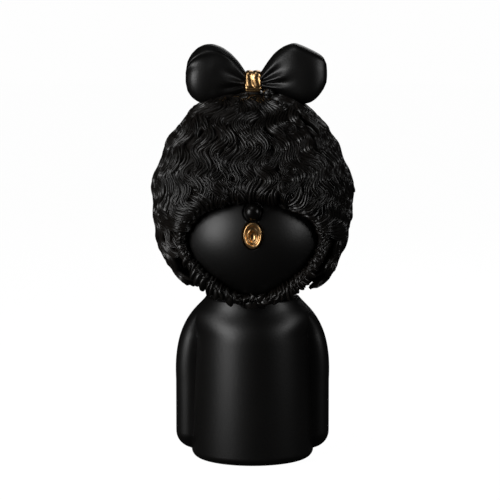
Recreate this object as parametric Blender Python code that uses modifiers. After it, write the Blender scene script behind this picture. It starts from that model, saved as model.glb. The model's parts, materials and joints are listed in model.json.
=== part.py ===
"""Hollow vinyl art toy: a bell-shaped body, a curly-haired head that turns on its neck, and a bow.

Metres, +Z up, the face looking along -Y. The origin is the centre of the base pad's underside,
which is the face that the toy stands on. The body stays still and the head turns about Z.
"""

import math

import bmesh
import bpy
from mathutils import Matrix, Vector

MM = 0.001

# ---- Driving dimensions -------------------------------------------------------------------
GAP = 0.3 * MM  # air left between pieces that sit on or in each other
VINYL_WALL = 3.0 * MM
ROUND_SEGMENTS = 40  # facets round the large turned pieces
SMALL_SEGMENTS = 16  # facets round screws, pegs and holes

# Body
FOOT_RADIUS = 34.5 * MM
FOOT_ROUNDING = 4.6 * MM
SHOULDER_RADIUS = 32.5 * MM  # the barrel where the shoulder starts to roll in
SHOULDER_HEIGHT = 70.0 * MM
NECK_RADIUS = 25.6 * MM
DECK_HEIGHT = 93.0 * MM  # top of the neck, which the head turns on
NECK_HOLE_RADIUS = 14.0 * MM
ARM_REACH = 43.9 * MM  # outermost line of a hanging arm, from the axis
ARM_BOTTOM = 5.3 * MM
ARM_BEND_HEIGHT = 45.0 * MM  # above this the arm leans in towards the neck
ARM_ROUNDING = 10.0 * MM
ARM_HALF_ANGLE = 19.0  # degrees either side of the arm's middle
ARM_EDGE = 16.0  # how sharply a hanging arm stands out from the barrel beside it
SHOULDER_EDGE = 2.4  # and how softly it does so on the shoulder
SHOULDER_SPREAD = 1.0  # how much wider than the arm its root is, round the shoulder
ARM_FREE_HEIGHT = 52.0 * MM  # below this the groove beside the arm is at its sharpest

# Base
PAD_PROUD = 0.5 * MM  # how far the pad lifts the body's foot off the table
PAD_THICKNESS = 1.2 * MM
BASE_LIP = 8.0 * MM  # width of the foot's flat ring, outside the base opening
PLATE_FLANGE_THICKNESS = 2.0 * MM
PLATE_SNAP = 1.7 * MM  # how far the plate's flange reaches over the foot's ring
BALLAST_RADIUS = 24.0 * MM
BALLAST_THICKNESS = 8.0 * MM
BALLAST_SCREW_CIRCLE = 15.0 * MM
BALLAST_SCREW_COUNT = 3

# Head
HEAD_CENTRE_HEIGHT = 148.0 * MM
HEAD_HALF_WIDTH = 58.5 * MM
HEAD_HALF_DEPTH = 56.0 * MM
HEAD_ABOVE = 64.0 * MM  # centre to crown
HEAD_BELOW = 60.0 * MM  # centre to where the ball would end under the chin
JAW_SQUARENESS = 2.2  # superellipse powers of the lower half, seen from the front
CHIN_SQUARENESS = 3.0  # and from the side, which is fuller
WAVE_COUNT = 18  # ridges of hair round the head
WAVE_DEPTH = 1.6 * MM
WAVE_SWING = 6.0  # degrees that a ridge swings to either side on its way down
NECK_SOCKET_RADIUS = 30.0 * MM  # clear space round the neck under the hair

# Face: an egg-shaped opening in the hair, with a dome set back inside it
FACE_HEIGHT = 130.5 * MM  # height of the opening's widest line
FACE_HALF_WIDTH = 36.5 * MM
FACE_ABOVE = 22.5 * MM
CHIN_SILL = 2.4 * MM  # how far the opening's lowest point stands above the head's floor
FACE_DOME_CENTRE_Y = -12.0 * MM
FACE_DOME_RADII = Vector((43.8, 38.0, 38.9)) * MM
FACE_SKIRT = 6.0 * MM
COLLAR_BACK_Y = -22.0 * MM  # the opening's inner collar reaches back to here
NOSE_HEIGHT = 146.9 * MM
NOSE_RADIUS = 4.8 * MM
NOSE_SEAT_RADIUS = 5.4 * MM
NOSE_SEAT_DEPTH = 1.0 * MM
PEG_RADIUS = 1.6 * MM
MOUTH_HEIGHT = 134.3 * MM
MOUTH_HALF_WIDTH = 5.2 * MM
MOUTH_HALF_HEIGHT = 7.6 * MM
MOUTH_LIP = 1.9 * MM  # thickness of the rolled lip
MOUTH_CUP_DEPTH = 4.6 * MM
MOUTH_CLIP_WIDTH = 2.2 * MM

# Neck joint
SPINDLE_RADIUS = 9.0 * MM
SPINDLE_FLANGE_RADIUS = 19.0 * MM
FLANGE_THICKNESS = 2.5 * MM
BUSH_FLANGE_RADIUS = 17.5 * MM
TURNING_FIT = 0.3 * MM
WASHER_THICKNESS = 1.0 * MM
FRICTION_RING_THICKNESS = 0.8 * MM
NECK_SCREW_LENGTH = 10.0 * MM

# Bow
KNOT_HALF_WIDTH = 4.3 * MM
KNOT_HALF_HEIGHT = 6.2 * MM
KNOT_HALF_DEPTH = 5.6 * MM
KNOT_WALL = 1.2 * MM
LOOP_WALL = 1.5 * MM
LOOP_LENGTHS = {"left": 34.0 * MM, "right": 36.4 * MM}
LOOP_HALF_HEIGHT = 16.5 * MM
LOOP_HALF_DEPTH = 10.0 * MM
LOOP_RISE = 5.0 * MM  # how far the middle of a loop stands above the knot's centre
LOOP_TIP_RISE = 1.7 * MM
BOW_STEM_RADIUS = 2.2 * MM
BOW_STEM_LENGTH = 11.0 * MM  # below the crown
BOW_WASHER_RADIUS = 6.0 * MM
BOW_NUT_RADIUS = 4.4 * MM
STEM_BAR_FILL = 0.66  # how much of a loop's rounded stub the stem's square bar fills

# ---- Sizes that follow from them -----------------------------------------------------------
ARM_ANGLES = (0, 7, 13, 16, 18, 20, 22, 25, 30, 37, 45)  # degrees from an arm's middle
BODY_ANGLES = [angle for angle in ARM_ANGLES]
BODY_ANGLES += [54, 63, 72, 81, 90, 99, 108, 117, 126]
BODY_ANGLES += [180 - angle for angle in ARM_ANGLES[::-1]]
BODY_ANGLES += [360 - angle for angle in BODY_ANGLES[-2:0:-1]]
FOOT_BOTTOM = PAD_PROUD
BASE_OPENING_RADIUS = FOOT_RADIUS - BASE_LIP
HEAD_FLOOR_BOTTOM = DECK_HEIGHT + GAP + 0.1 * MM
HEAD_FLOOR_TOP = HEAD_FLOOR_BOTTOM + VINYL_WALL
FACE_BELOW = FACE_HEIGHT - HEAD_FLOOR_TOP - CHIN_SILL
CROWN_HEIGHT = HEAD_CENTRE_HEIGHT + HEAD_ABOVE
KNOT_HEIGHT = CROWN_HEIGHT + GAP + KNOT_HALF_HEIGHT
STUB_HALF_HEIGHT = KNOT_HALF_HEIGHT - KNOT_WALL - GAP
STUB_HALF_DEPTH = KNOT_HALF_DEPTH - KNOT_WALL - GAP
STUB_START = BOW_STEM_RADIUS + GAP  # where a loop's stub begins, from the bow's middle


# ---- Materials -----------------------------------------------------------------------------
def material(name, colour, roughness, metallic=0.0):
    """A plain Principled BSDF finish, made once and shared."""
    found = bpy.data.materials.get(name)
    if found:
        return found
    made = bpy.data.materials.new(name)
    made.use_nodes = True
    shader = made.node_tree.nodes["Principled BSDF"]
    shader.inputs["Base Color"].default_value = (*colour, 1.0)
    shader.inputs["Roughness"].default_value = roughness
    shader.inputs["Metallic"].default_value = metallic
    made.diffuse_color = (*colour, 1.0)
    return made


def black_vinyl():
    return material("black_vinyl", (0.014, 0.013, 0.012), 0.45)


def black_abs():
    return material("black_abs", (0.03, 0.03, 0.032), 0.4)


def gold_plate():
    return material("gold_plate", (0.80, 0.47, 0.18), 0.28, 1.0)


def plated_steel():
    return material("plated_steel", (0.55, 0.55, 0.57), 0.3, 1.0)


def black_rubber():
    return material("black_rubber", (0.02, 0.02, 0.02), 0.8)


def cast_iron():
    return material("cast_iron", (0.12, 0.12, 0.125), 0.6, 1.0)


# ---- Modelling helpers ---------------------------------------------------------------------
def collection(name):
    found = bpy.data.collections.get(name)
    if not found:
        found = bpy.data.collections.new(name)
        bpy.context.scene.collection.children.link(found)
    return found


def add_object(name, mesh, finish=None, cutter=False):
    """Puts a mesh in the toy's collection, or in the cutters', where it isn't rendered."""
    obj = bpy.data.objects.new(name, mesh)
    collection("cutters" if cutter else "art_toy").objects.link(obj)
    if finish:
        mesh.materials.append(finish)
    if cutter:
        obj.hide_render = True
        obj.display_type = "WIRE"
    return obj


def mesh_from(bm, name):
    """Turns a bmesh into a mesh with its faces pointing out and its round faces smooth."""
    bmesh.ops.recalc_face_normals(bm, faces=bm.faces[:])
    mesh = bpy.data.meshes.new(name)
    bm.to_mesh(mesh)
    bm.free()
    mesh.shade_smooth()
    mesh.set_sharp_from_angle(angle=math.radians(35))
    return mesh


def turned(name, profile, finish=None, segments=ROUND_SEGMENTS, closed=False, cutter=False):
    """A shape turned about Z. The (radius, height) profile runs down its outer side."""
    bm = bmesh.new()
    points = [bm.verts.new((radius, 0.0, height)) for radius, height in profile]
    for first, second in zip(points, points[1:]):
        bm.edges.new((first, second))
    if closed:
        bm.edges.new((points[-1], points[0]))
    mesh = bpy.data.meshes.new(name)
    bm.to_mesh(mesh)
    bm.free()
    obj = add_object(name, mesh, finish, cutter)
    screw = obj.modifiers.new("turn", "SCREW")
    screw.steps = screw.render_steps = segments
    screw.use_merge_vertices = True
    screw.merge_threshold = 0.00001
    return obj


def disc_profile(radius, bottom, top):
    return [(0.0, top), (radius, top), (radius, bottom), (0.0, bottom)]


def ring_profile(inner, outer, bottom, top):
    return [(inner, top), (outer, top), (outer, bottom), (inner, bottom)]


def cylinder(name, radius, start, end, segments=SMALL_SEGMENTS, finish=None, cutter=False):
    """A cylinder from one point to another."""
    start, end = Vector(start), Vector(end)
    along = end - start
    bm = bmesh.new()
    bmesh.ops.create_cone(
        bm,
        cap_ends=True,
        segments=segments,
        radius1=radius,
        radius2=radius,
        depth=along.length,
        matrix=Matrix.Translation((start + end) / 2)
        @ along.to_track_quat("Z", "Y").to_matrix().to_4x4(),
    )
    return add_object(name, mesh_from(bm, name), finish, cutter)


def boolean(obj, operation, other):
    modifier = obj.modifiers.new(operation.lower(), "BOOLEAN")
    modifier.operation = operation
    modifier.object = other
    return modifier


def loft(name, rings, finish=None, cap_start=True, cap_end=True, cutter=False):
    """A grid rolled into a tube, with one row on each closed ring of points."""
    around = len(rings[0])
    bm = bmesh.new()
    bmesh.ops.create_grid(bm, x_segments=around, y_segments=len(rings) - 1)
    bm.verts.ensure_lookup_table()
    seam = {}
    rows = []
    for row, ring in enumerate(rings):
        first = row * (around + 1)
        verts = bm.verts[first : first + around + 1]
        for vert, point in zip(verts, [*ring, ring[0]]):
            vert.co = point
        seam[verts[-1]] = verts[0]
        rows.append(verts[:-1])
    bmesh.ops.weld_verts(bm, targetmap=seam)
    for row, wanted in ((rows[0], cap_start), (rows[-1], cap_end)):
        if wanted:
            ends = set(row)
            rim = [edge for edge in bm.edges if edge.is_boundary and ends.issuperset(edge.verts)]
            bmesh.ops.edgeloop_fill(bm, edges=rim)
    return add_object(name, mesh_from(bm, name), finish, cutter)


def superellipse(angle, power):
    """The point at an angle on a unit superellipse. A power of 2 is a circle."""
    c, s = math.cos(angle), math.sin(angle)
    return (
        math.copysign(abs(c) ** (2 / power), c),
        math.copysign(abs(s) ** (2 / power), s),
    )


def bezier(p0, p1, p2, p3, count):
    """Points along a cubic curve in the plane, both ends included."""
    points = []
    for i in range(count + 1):
        t = i / count
        weights = ((1 - t) ** 3, 3 * t * (1 - t) ** 2, 3 * t * t * (1 - t), t**3)
        points.append(
            tuple(sum(w * p[k] for w, p in zip(weights, (p0, p1, p2, p3))) for k in (0, 1))
        )
    return points


def inset(points, distance):
    """An open (radius, height) profile that runs down its outer side, moved inwards."""
    moved = []
    for i, (radius, height) in enumerate(points):
        before, after = points[max(i - 1, 0)], points[min(i + 1, len(points) - 1)]
        along = Vector((after[0] - before[0], after[1] - before[1])).normalized()
        moved.append((radius + along.y * distance, height - along.x * distance))
    return moved


# ---- Body ----------------------------------------------------------------------------------
def shoulder_profile():
    """The neck and shoulder, from the deck's rim down to the barrel."""
    rise = DECK_HEIGHT - SHOULDER_HEIGHT
    return bezier(
        (NECK_RADIUS, DECK_HEIGHT),
        (NECK_RADIUS, DECK_HEIGHT - 0.45 * rise),
        (SHOULDER_RADIUS, SHOULDER_HEIGHT + 0.55 * rise),
        (SHOULDER_RADIUS, SHOULDER_HEIGHT),
        8,
    )


def radius_along(profile, height):
    """The radius at a height on a (radius, height) profile that runs downwards."""
    for (upper_radius, upper), (lower_radius, lower) in zip(profile, profile[1:]):
        if lower <= height <= upper:
            share = (height - lower) / (upper - lower)
            return lower_radius + (upper_radius - lower_radius) * share
    return profile[0][0] if height > profile[0][1] else profile[-1][0]


def foot_profile():
    """The rounded edge of the foot, from the barrel down to the flat ring."""
    corner = FOOT_RADIUS - FOOT_ROUNDING
    return [
        (
            corner + FOOT_ROUNDING * math.cos(math.radians(a)),
            FOOT_BOTTOM + FOOT_ROUNDING * (1 - math.sin(math.radians(a))),
        )
        for a in (0, 22.5, 45, 67.5, 90)
    ]


def arm_profile():
    """The outermost line of an arm, from beside the neck down to its rounded lower end."""
    top = DECK_HEIGHT + 3 * MM
    rise, lean = top - ARM_BEND_HEIGHT, ARM_REACH - NECK_RADIUS
    shoulder = bezier(
        (NECK_RADIUS, top),
        (NECK_RADIUS, top - 0.15 * rise),
        (ARM_REACH + 0.12 * lean, top - 0.2 * rise),
        (ARM_REACH, ARM_BEND_HEIGHT),
        14,
    )
    corner = ARM_REACH - ARM_ROUNDING
    end = [
        (
            corner + ARM_ROUNDING * math.cos(math.radians(a)),
            ARM_BOTTOM + ARM_ROUNDING * (1 - math.sin(math.radians(a))),
        )
        for a in (0, 22, 42, 60, 75, 90)
    ]
    return shoulder + end


def body_ring(height, barrel, arms):
    """The body's outline at a height: a circle that bulges into an arm on each side."""
    reach = max(radius_along(arms, height), barrel)
    if height < ARM_BOTTOM:
        reach = barrel
    joined = (height - ARM_FREE_HEIGHT) / (DECK_HEIGHT - ARM_FREE_HEIGHT)
    joined = min(1.0, max(0.0, joined))
    joined = joined * joined * (3 - 2 * joined)
    edge = ARM_EDGE * (SHOULDER_EDGE / ARM_EDGE) ** joined
    half = ARM_HALF_ANGLE * (1 + SHOULDER_SPREAD * joined)
    ring = []
    for angle in BODY_ANGLES:
        off = min(abs(angle), abs(180 - angle), abs(360 - angle))
        radius = barrel + (reach - barrel) / (1 + (off / half) ** edge)
        turn = math.radians(angle)
        ring.append((radius * math.cos(turn), radius * math.sin(turn), height))
    return ring


def build_body():
    """The hollow barrel with both arms cast on it, open at the neck and under the foot."""
    barrel, arms, foot = shoulder_profile(), arm_profile(), foot_profile()
    heights = [height for _, height in barrel]
    heights += [SHOULDER_HEIGHT + (foot[0][1] - SHOULDER_HEIGHT) * i / 9 for i in range(1, 9)]
    heights += [height for _, height in arms[-6:]] + [ARM_BOTTOM - 0.1 * MM]
    rings = [
        body_ring(height, radius_along(barrel + foot, height), arms)
        for height in sorted(heights, reverse=True)
    ]
    rings += [body_ring(height, radius, arms) for radius, height in foot]
    body = loft("body_shell", rings, black_vinyl())
    foot_inside = FOOT_BOTTOM + VINYL_WALL
    inside = [
        point for point in inset(barrel, VINYL_WALL) if point[1] < DECK_HEIGHT - 1.6 * VINYL_WALL
    ]
    cavity = turned(
        "body_cavity",
        [
            (0.0, DECK_HEIGHT + MM),
            (NECK_HOLE_RADIUS, DECK_HEIGHT + MM),
            (NECK_HOLE_RADIUS, DECK_HEIGHT - VINYL_WALL),
            (NECK_RADIUS - VINYL_WALL, DECK_HEIGHT - VINYL_WALL),
            *inside,
            (FOOT_RADIUS - VINYL_WALL, foot_inside),
            (BASE_OPENING_RADIUS, foot_inside),
            (BASE_OPENING_RADIUS, FOOT_BOTTOM - MM),
            (0.0, FOOT_BOTTOM - MM),
        ],
        cutter=True,
    )
    boolean(body, "DIFFERENCE", cavity)


# ---- Base ----------------------------------------------------------------------------------
def ballast_screw_places():
    for i in range(BALLAST_SCREW_COUNT):
        angle = math.radians(90 + 360 * i / BALLAST_SCREW_COUNT)
        yield (BALLAST_SCREW_CIRCLE * math.cos(angle), BALLAST_SCREW_CIRCLE * math.sin(angle))


def build_base():
    """The pad, the plate that snaps into the foot, and the ballast screwed on top of it."""
    plate_bottom = PAD_THICKNESS + GAP
    flange_bottom = FOOT_BOTTOM + VINYL_WALL + GAP
    flange_top = flange_bottom + PLATE_FLANGE_THICKNESS
    boss = BASE_OPENING_RADIUS - GAP
    flange = BASE_OPENING_RADIUS + PLATE_SNAP
    turned("base_pad", disc_profile(boss - 2 * MM, 0.0, PAD_THICKNESS), black_rubber())
    plate = turned(
        "base_plate",
        [
            (0.0, flange_top),
            (flange, flange_top),
            (flange, flange_bottom),
            (boss, flange_bottom),
            (boss, plate_bottom),
            (0.0, plate_bottom),
        ],
        black_abs(),
    )
    ballast_bottom = flange_top + GAP
    ballast_top = ballast_bottom + BALLAST_THICKNESS
    ballast = turned(
        "ballast", disc_profile(BALLAST_RADIUS, ballast_bottom, ballast_top), cast_iron()
    )
    head_radius, head_height, shank_radius = 3.0 * MM, 1.4 * MM, 1.4 * MM
    head_bottom = plate_bottom + GAP
    shank_top = ballast_top - 1.5 * MM
    for i, (x, y) in enumerate(ballast_screw_places(), start=1):
        counterbore = cylinder(
            f"counterbore_{i}",
            head_radius + GAP,
            (x, y, plate_bottom - MM),
            (x, y, head_bottom + head_height + GAP),
            cutter=True,
        )
        hole = cylinder(
            f"ballast_screw_hole_{i}",
            shank_radius + GAP,
            (x, y, plate_bottom - MM),
            (x, y, shank_top + GAP),
            cutter=True,
        )
        boolean(plate, "DIFFERENCE", counterbore)
        boolean(plate, "DIFFERENCE", hole)
        boolean(ballast, "DIFFERENCE", hole)
        screw = turned(
            f"ballast_screw_{i}",
            [
                (0.0, shank_top),
                (shank_radius, shank_top),
                (shank_radius, head_bottom + head_height),
                (head_radius, head_bottom + head_height),
                (head_radius, head_bottom),
                (0.0, head_bottom),
            ],
            plated_steel(),
            segments=SMALL_SEGMENTS,
        )
        screw.location = (x, y, 0.0)


# ---- Head ----------------------------------------------------------------------------------
def head_surface(direction, shrink=0.0):
    """The hair's outer surface in a direction from the head's centre, moved in by shrink."""
    wide, deep = HEAD_HALF_WIDTH - shrink, HEAD_HALF_DEPTH - shrink
    below, above = HEAD_BELOW - shrink, HEAD_ABOVE - shrink
    x, y, z = direction
    if z >= 0:
        return Vector((wide * x, deep * y, HEAD_CENTRE_HEIGHT + above * z))
    level = min(1.0, -z)
    across = math.sqrt(max(0.0, 1 - level * level))
    if across < 1e-6:
        return Vector((0.0, 0.0, HEAD_CENTRE_HEIGHT - below))
    jaw = (1 - level**JAW_SQUARENESS) ** (1 / JAW_SQUARENESS)
    chin = (1 - level**CHIN_SQUARENESS) ** (1 / CHIN_SQUARENESS)
    return Vector(
        (wide * jaw * x / across, deep * chin * y / across, HEAD_CENTRE_HEIGHT - below * level)
    )


def wave_dip(direction):
    """How far the hair lies below its crests, for ridges that swing as they run down."""
    level = math.acos(max(-1.0, min(1.0, direction.z)))
    swing = math.radians(WAVE_SWING) * math.sin(8 * level)
    turn = math.atan2(direction.y, direction.x) + swing
    fade = math.sin(level) ** 1.5
    return WAVE_DEPTH * fade * (0.5 - 0.5 * math.cos(WAVE_COUNT * turn))


def head_ball(name, shrink=0.0, around=31, levels=19, finish=None, cutter=True, waves=False):
    bm = bmesh.new()
    bmesh.ops.create_uvsphere(bm, u_segments=around, v_segments=levels, radius=1.0)
    for vert in bm.verts:
        direction = vert.co.normalized()
        vert.co = head_surface(direction, shrink + (wave_dip(direction) if waves else 0.0))
    return add_object(name, mesh_from(bm, name), finish, cutter)


def crown_surface_height(x):
    """Height of the hair's outer surface above the axis plane Y = 0, at x from the middle."""
    share = min(1.0, abs(x) / HEAD_HALF_WIDTH)
    return HEAD_CENTRE_HEIGHT + HEAD_ABOVE * math.sqrt(1 - share * share)


def face_outline(grow=0.0, count=40):
    """(x, z) points round the egg-shaped opening, grown outwards."""
    points = []
    for i in range(count):
        angle = 2 * math.pi * i / count
        c, s = math.cos(angle), math.sin(angle)
        tall = FACE_ABOVE if s > 0 else FACE_BELOW
        points.append((c * (FACE_HALF_WIDTH + grow), FACE_HEIGHT + s * (tall + grow)))
    return points


def face_prism(name, grow, front_y, back_y):
    """The opening's outline drawn out along Y, to cut the hair or to leave its collar."""
    outline = face_outline(grow)
    rings = [[(x, y, z) for x, z in outline] for y in (front_y, back_y)]
    return loft(name, rings, cutter=True)


def build_hair():
    """The hollow hair shell, with the face opening's collar, the neck floor and two holes."""
    around = 4 * WAVE_COUNT
    hair = head_ball("hair_shell", 0.0, around, 30, black_vinyl(), cutter=False, waves=True)
    front = -HEAD_HALF_DEPTH - 5 * MM
    cavity = head_ball("hair_cavity", VINYL_WALL + WAVE_DEPTH)
    collar = face_prism("collar_block", VINYL_WALL, front, COLLAR_BACK_Y)
    floor = cylinder(
        "floor_block",
        HEAD_HALF_WIDTH,
        (0, 0, HEAD_CENTRE_HEIGHT - HEAD_BELOW - 5 * MM),
        (0, 0, HEAD_FLOOR_TOP),
        cutter=True,
    )
    boolean(cavity, "DIFFERENCE", collar)
    boolean(cavity, "DIFFERENCE", floor)
    opening = face_prism("face_opening", 0.0, front, COLLAR_BACK_Y + 5 * MM)
    neck_socket = cylinder(
        "neck_socket",
        NECK_SOCKET_RADIUS,
        (0, 0, HEAD_CENTRE_HEIGHT - HEAD_BELOW - 5 * MM),
        (0, 0, HEAD_FLOOR_BOTTOM),
        segments=ROUND_SEGMENTS,
        cutter=True,
    )
    spindle_hole = cylinder(
        "spindle_hole",
        NECK_HOLE_RADIUS + GAP,
        (0, 0, HEAD_FLOOR_BOTTOM - MM),
        (0, 0, HEAD_FLOOR_TOP + MM),
        segments=ROUND_SEGMENTS,
        cutter=True,
    )
    stem_hole = cylinder(
        "bow_stem_hole",
        BOW_STEM_RADIUS + GAP,
        (0, 0, CROWN_HEIGHT - 2 * VINYL_WALL - WAVE_DEPTH),
        (0, 0, CROWN_HEIGHT + 2 * MM),
        cutter=True,
    )
    for cutter in (cavity, opening, neck_socket, spindle_hole, stem_hole):
        boolean(hair, "DIFFERENCE", cutter)


def dome_y(x, z):
    """The face dome's front surface over a point of the opening."""
    wide, deep, tall = FACE_DOME_RADII
    inside = 1 - (x / wide) ** 2 - ((z - FACE_HEIGHT) / tall) ** 2
    return FACE_DOME_CENTRE_Y - deep * math.sqrt(max(0.02, inside))


def face_ring(share, behind=0.0, inwards=0.0):
    """A ring on the dome at a share of the way from its middle to its rim."""
    ring = []
    for x, z in face_outline(-GAP - inwards):
        x, z = share * x, FACE_HEIGHT + share * (z - FACE_HEIGHT)
        ring.append((x, dome_y(x, z) + behind, z))
    return ring


def build_face():
    """The domed face with a skirt that plugs into the collar, and seats for nose and mouth."""
    shares = (0.1, 0.3, 0.5, 0.68, 0.82, 0.92, 1.0)
    front = [face_ring(share) for share in shares]
    back = [face_ring(share, VINYL_WALL, VINYL_WALL) for share in shares[::-1]]
    skirt_inside = [(x, FACE_SKIRT + y, z) for x, y, z in back[0]]
    skirt_back = [(x, FACE_SKIRT + VINYL_WALL + y, z) for x, y, z in front[-1]]
    face = loft("face_shell", [*front, skirt_back, skirt_inside, *back], black_vinyl())
    nose_front = dome_y(0, NOSE_HEIGHT)
    seat = cylinder(
        "nose_seat",
        NOSE_SEAT_RADIUS,
        (0, nose_front - NOSE_RADIUS, NOSE_HEIGHT),
        (0, nose_front + NOSE_SEAT_DEPTH, NOSE_HEIGHT),
        segments=24,
        cutter=True,
    )
    peg_hole = cylinder(
        "nose_peg_hole",
        PEG_RADIUS + GAP,
        (0, nose_front - NOSE_RADIUS, NOSE_HEIGHT),
        (0, nose_front + 5 * VINYL_WALL, NOSE_HEIGHT),
        cutter=True,
    )
    mouth_front = dome_y(0, MOUTH_HEIGHT)
    mouth_hole = oval_prism(
        "mouth_hole", MOUTH_LIP - GAP, mouth_front - 5 * MM, mouth_front + 5 * VINYL_WALL
    )
    for cutter in (seat, peg_hole, mouth_hole):
        boolean(face, "DIFFERENCE", cutter)


def mouth_oval(shrink, y, count=24):
    """Points round the mouth's oval at depth y, moved in by shrink."""
    wide, tall = MOUTH_HALF_WIDTH - shrink, MOUTH_HALF_HEIGHT - shrink
    points = []
    for i in range(count):
        angle = 2 * math.pi * i / count
        points.append((wide * math.cos(angle), y, MOUTH_HEIGHT + tall * math.sin(angle)))
    return points


def oval_prism(name, shrink, front_y, back_y, finish=None, cutter=True):
    rings = [mouth_oval(shrink, front_y), mouth_oval(shrink, back_y)]
    return loft(name, rings, finish, cutter=cutter)


def build_nose():
    """A round bead on a peg that is pressed through the face."""
    front = dome_y(0, NOSE_HEIGHT)
    seat_y = front + NOSE_SEAT_DEPTH - GAP
    bm = bmesh.new()
    bmesh.ops.create_uvsphere(
        bm,
        u_segments=24,
        v_segments=14,
        radius=NOSE_RADIUS,
        matrix=Matrix.Translation((0, front - 1.6 * MM, NOSE_HEIGHT)),
    )
    cut = bmesh.ops.bisect_plane(
        bm,
        geom=bm.verts[:] + bm.edges[:] + bm.faces[:],
        plane_co=(0, seat_y, 0),
        plane_no=(0, 1, 0),
        clear_outer=True,
    )
    edges = [item for item in cut["geom_cut"] if isinstance(item, bmesh.types.BMEdge)]
    bmesh.ops.edgeloop_fill(bm, edges=edges)
    nose = add_object("nose_bead", mesh_from(bm, "nose_bead"), black_vinyl())
    peg = cylinder(
        "nose_peg_form",
        PEG_RADIUS,
        (0, seat_y - MM, NOSE_HEIGHT),
        (0, front + VINYL_WALL + 2 * MM, NOSE_HEIGHT),
        cutter=True,
    )
    boolean(nose, "UNION", peg)


def build_mouth():
    """The open oval mouth: a rolled lip and a cup in one casting, and the clip behind it."""
    front = dome_y(0, MOUTH_HEIGHT)
    tallest = max(MOUTH_HALF_HEIGHT, MOUTH_HALF_WIDTH)
    seat = max(dome_y(0, MOUTH_HEIGHT + s * tallest) for s in (-1, 1))
    lip_back = min(front, dome_y(0, MOUTH_HEIGHT + tallest), dome_y(0, MOUTH_HEIGHT - tallest))
    lip_back -= GAP
    lip_front = lip_back - MOUTH_LIP
    cup_back = max(seat, front) + VINYL_WALL + MOUTH_CUP_DEPTH
    lip, wall = MOUTH_LIP, 1.2 * MM
    rings = [
        mouth_oval(lip, cup_back),
        mouth_oval(lip, lip_back),
        mouth_oval(0.35 * lip, lip_back),
        mouth_oval(0.0, lip_back - 0.35 * lip),
        mouth_oval(0.1 * lip, lip_back - 0.7 * lip),
        mouth_oval(0.5 * lip, lip_front),
        mouth_oval(0.95 * lip, lip_back - 0.8 * lip),
        mouth_oval(lip + 0.7 * wall, lip_back - 0.2 * lip),
        mouth_oval(lip + wall, cup_back - 2 * wall),
        mouth_oval(lip + 1.4 * wall, cup_back - wall),
    ]
    loft("mouth_lips", rings, gold_plate())
    inner_wall = max(dome_y(0, MOUTH_HEIGHT + s * tallest) for s in (-1, 1)) + VINYL_WALL
    clip_front = inner_wall + 2 * GAP
    clip_back = clip_front + WASHER_THICKNESS
    clip_inner = lip - GAP
    clip_outer = clip_inner - MOUTH_CLIP_WIDTH
    clip = oval_prism("mouth_clip", clip_outer, clip_front, clip_back, plated_steel(), False)
    hole = oval_prism("mouth_clip_hole", clip_inner, clip_front - MM, clip_back + MM)
    boolean(clip, "DIFFERENCE", hole)


# ---- Neck joint ----------------------------------------------------------------------------
def build_neck_joint():
    """The head's spindle in the body's bush, held up from below by a washer and a screw."""
    deck_under = DECK_HEIGHT - VINYL_WALL
    bush_top = DECK_HEIGHT
    bush_bottom = deck_under - GAP - FLANGE_THICKNESS
    bore = SPINDLE_RADIUS + TURNING_FIT
    turned(
        "neck_bush",
        [
            (bore, bush_top),
            (NECK_HOLE_RADIUS - GAP, bush_top),
            (NECK_HOLE_RADIUS - GAP, deck_under - GAP),
            (BUSH_FLANGE_RADIUS, deck_under - GAP),
            (BUSH_FLANGE_RADIUS, bush_bottom),
            (bore, bush_bottom),
        ],
        black_abs(),
        closed=True,
    )
    spindle_bottom = bush_bottom - GAP - FRICTION_RING_THICKNESS - GAP
    screw_radius = 1.8 * MM
    hole_top = spindle_bottom + NECK_SCREW_LENGTH + GAP
    turned(
        "neck_spindle",
        [
            (0.0, HEAD_FLOOR_TOP + GAP + FLANGE_THICKNESS),
            (SPINDLE_FLANGE_RADIUS, HEAD_FLOOR_TOP + GAP + FLANGE_THICKNESS),
            (SPINDLE_FLANGE_RADIUS, HEAD_FLOOR_TOP + GAP),
            (NECK_HOLE_RADIUS, HEAD_FLOOR_TOP + GAP),
            (NECK_HOLE_RADIUS, HEAD_FLOOR_BOTTOM),
            (SPINDLE_RADIUS, HEAD_FLOOR_BOTTOM),
            (SPINDLE_RADIUS, spindle_bottom),
            (screw_radius + GAP, spindle_bottom),
            (screw_radius + GAP, hole_top),
            (0.0, hole_top),
        ],
        black_abs(),
    )
    ring_top = bush_bottom - GAP
    turned(
        "friction_ring",
        ring_profile(bore, bore + 3.5 * MM, ring_top - FRICTION_RING_THICKNESS, ring_top),
        black_rubber(),
        closed=True,
    )
    washer_top = spindle_bottom - GAP
    washer_bottom = washer_top - WASHER_THICKNESS
    turned(
        "neck_washer",
        ring_profile(screw_radius + GAP, bore + 3.0 * MM, washer_bottom, washer_top),
        plated_steel(),
        closed=True,
    )
    head_top = washer_bottom - GAP
    turned(
        "neck_screw",
        [
            (0.0, spindle_bottom + NECK_SCREW_LENGTH),
            (screw_radius, spindle_bottom + NECK_SCREW_LENGTH),
            (screw_radius, head_top),
            (2.0 * screw_radius, head_top),
            (2.0 * screw_radius, head_top - 2.4 * MM),
            (0.0, head_top - 2.4 * MM),
        ],
        plated_steel(),
        segments=SMALL_SEGMENTS,
    )


# ---- Bow -----------------------------------------------------------------------------------
def loop_swell(share):
    """How full a bow loop is, 0 at the knot to 1, at a share of the way to its outer end."""
    rise = math.sin(math.pi / 2 * min(1.0, share / 0.6)) ** 0.85
    close = max(0.0, (share - 0.6) / 0.4)
    return rise, (1 - close**3) ** (1 / 3)


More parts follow.
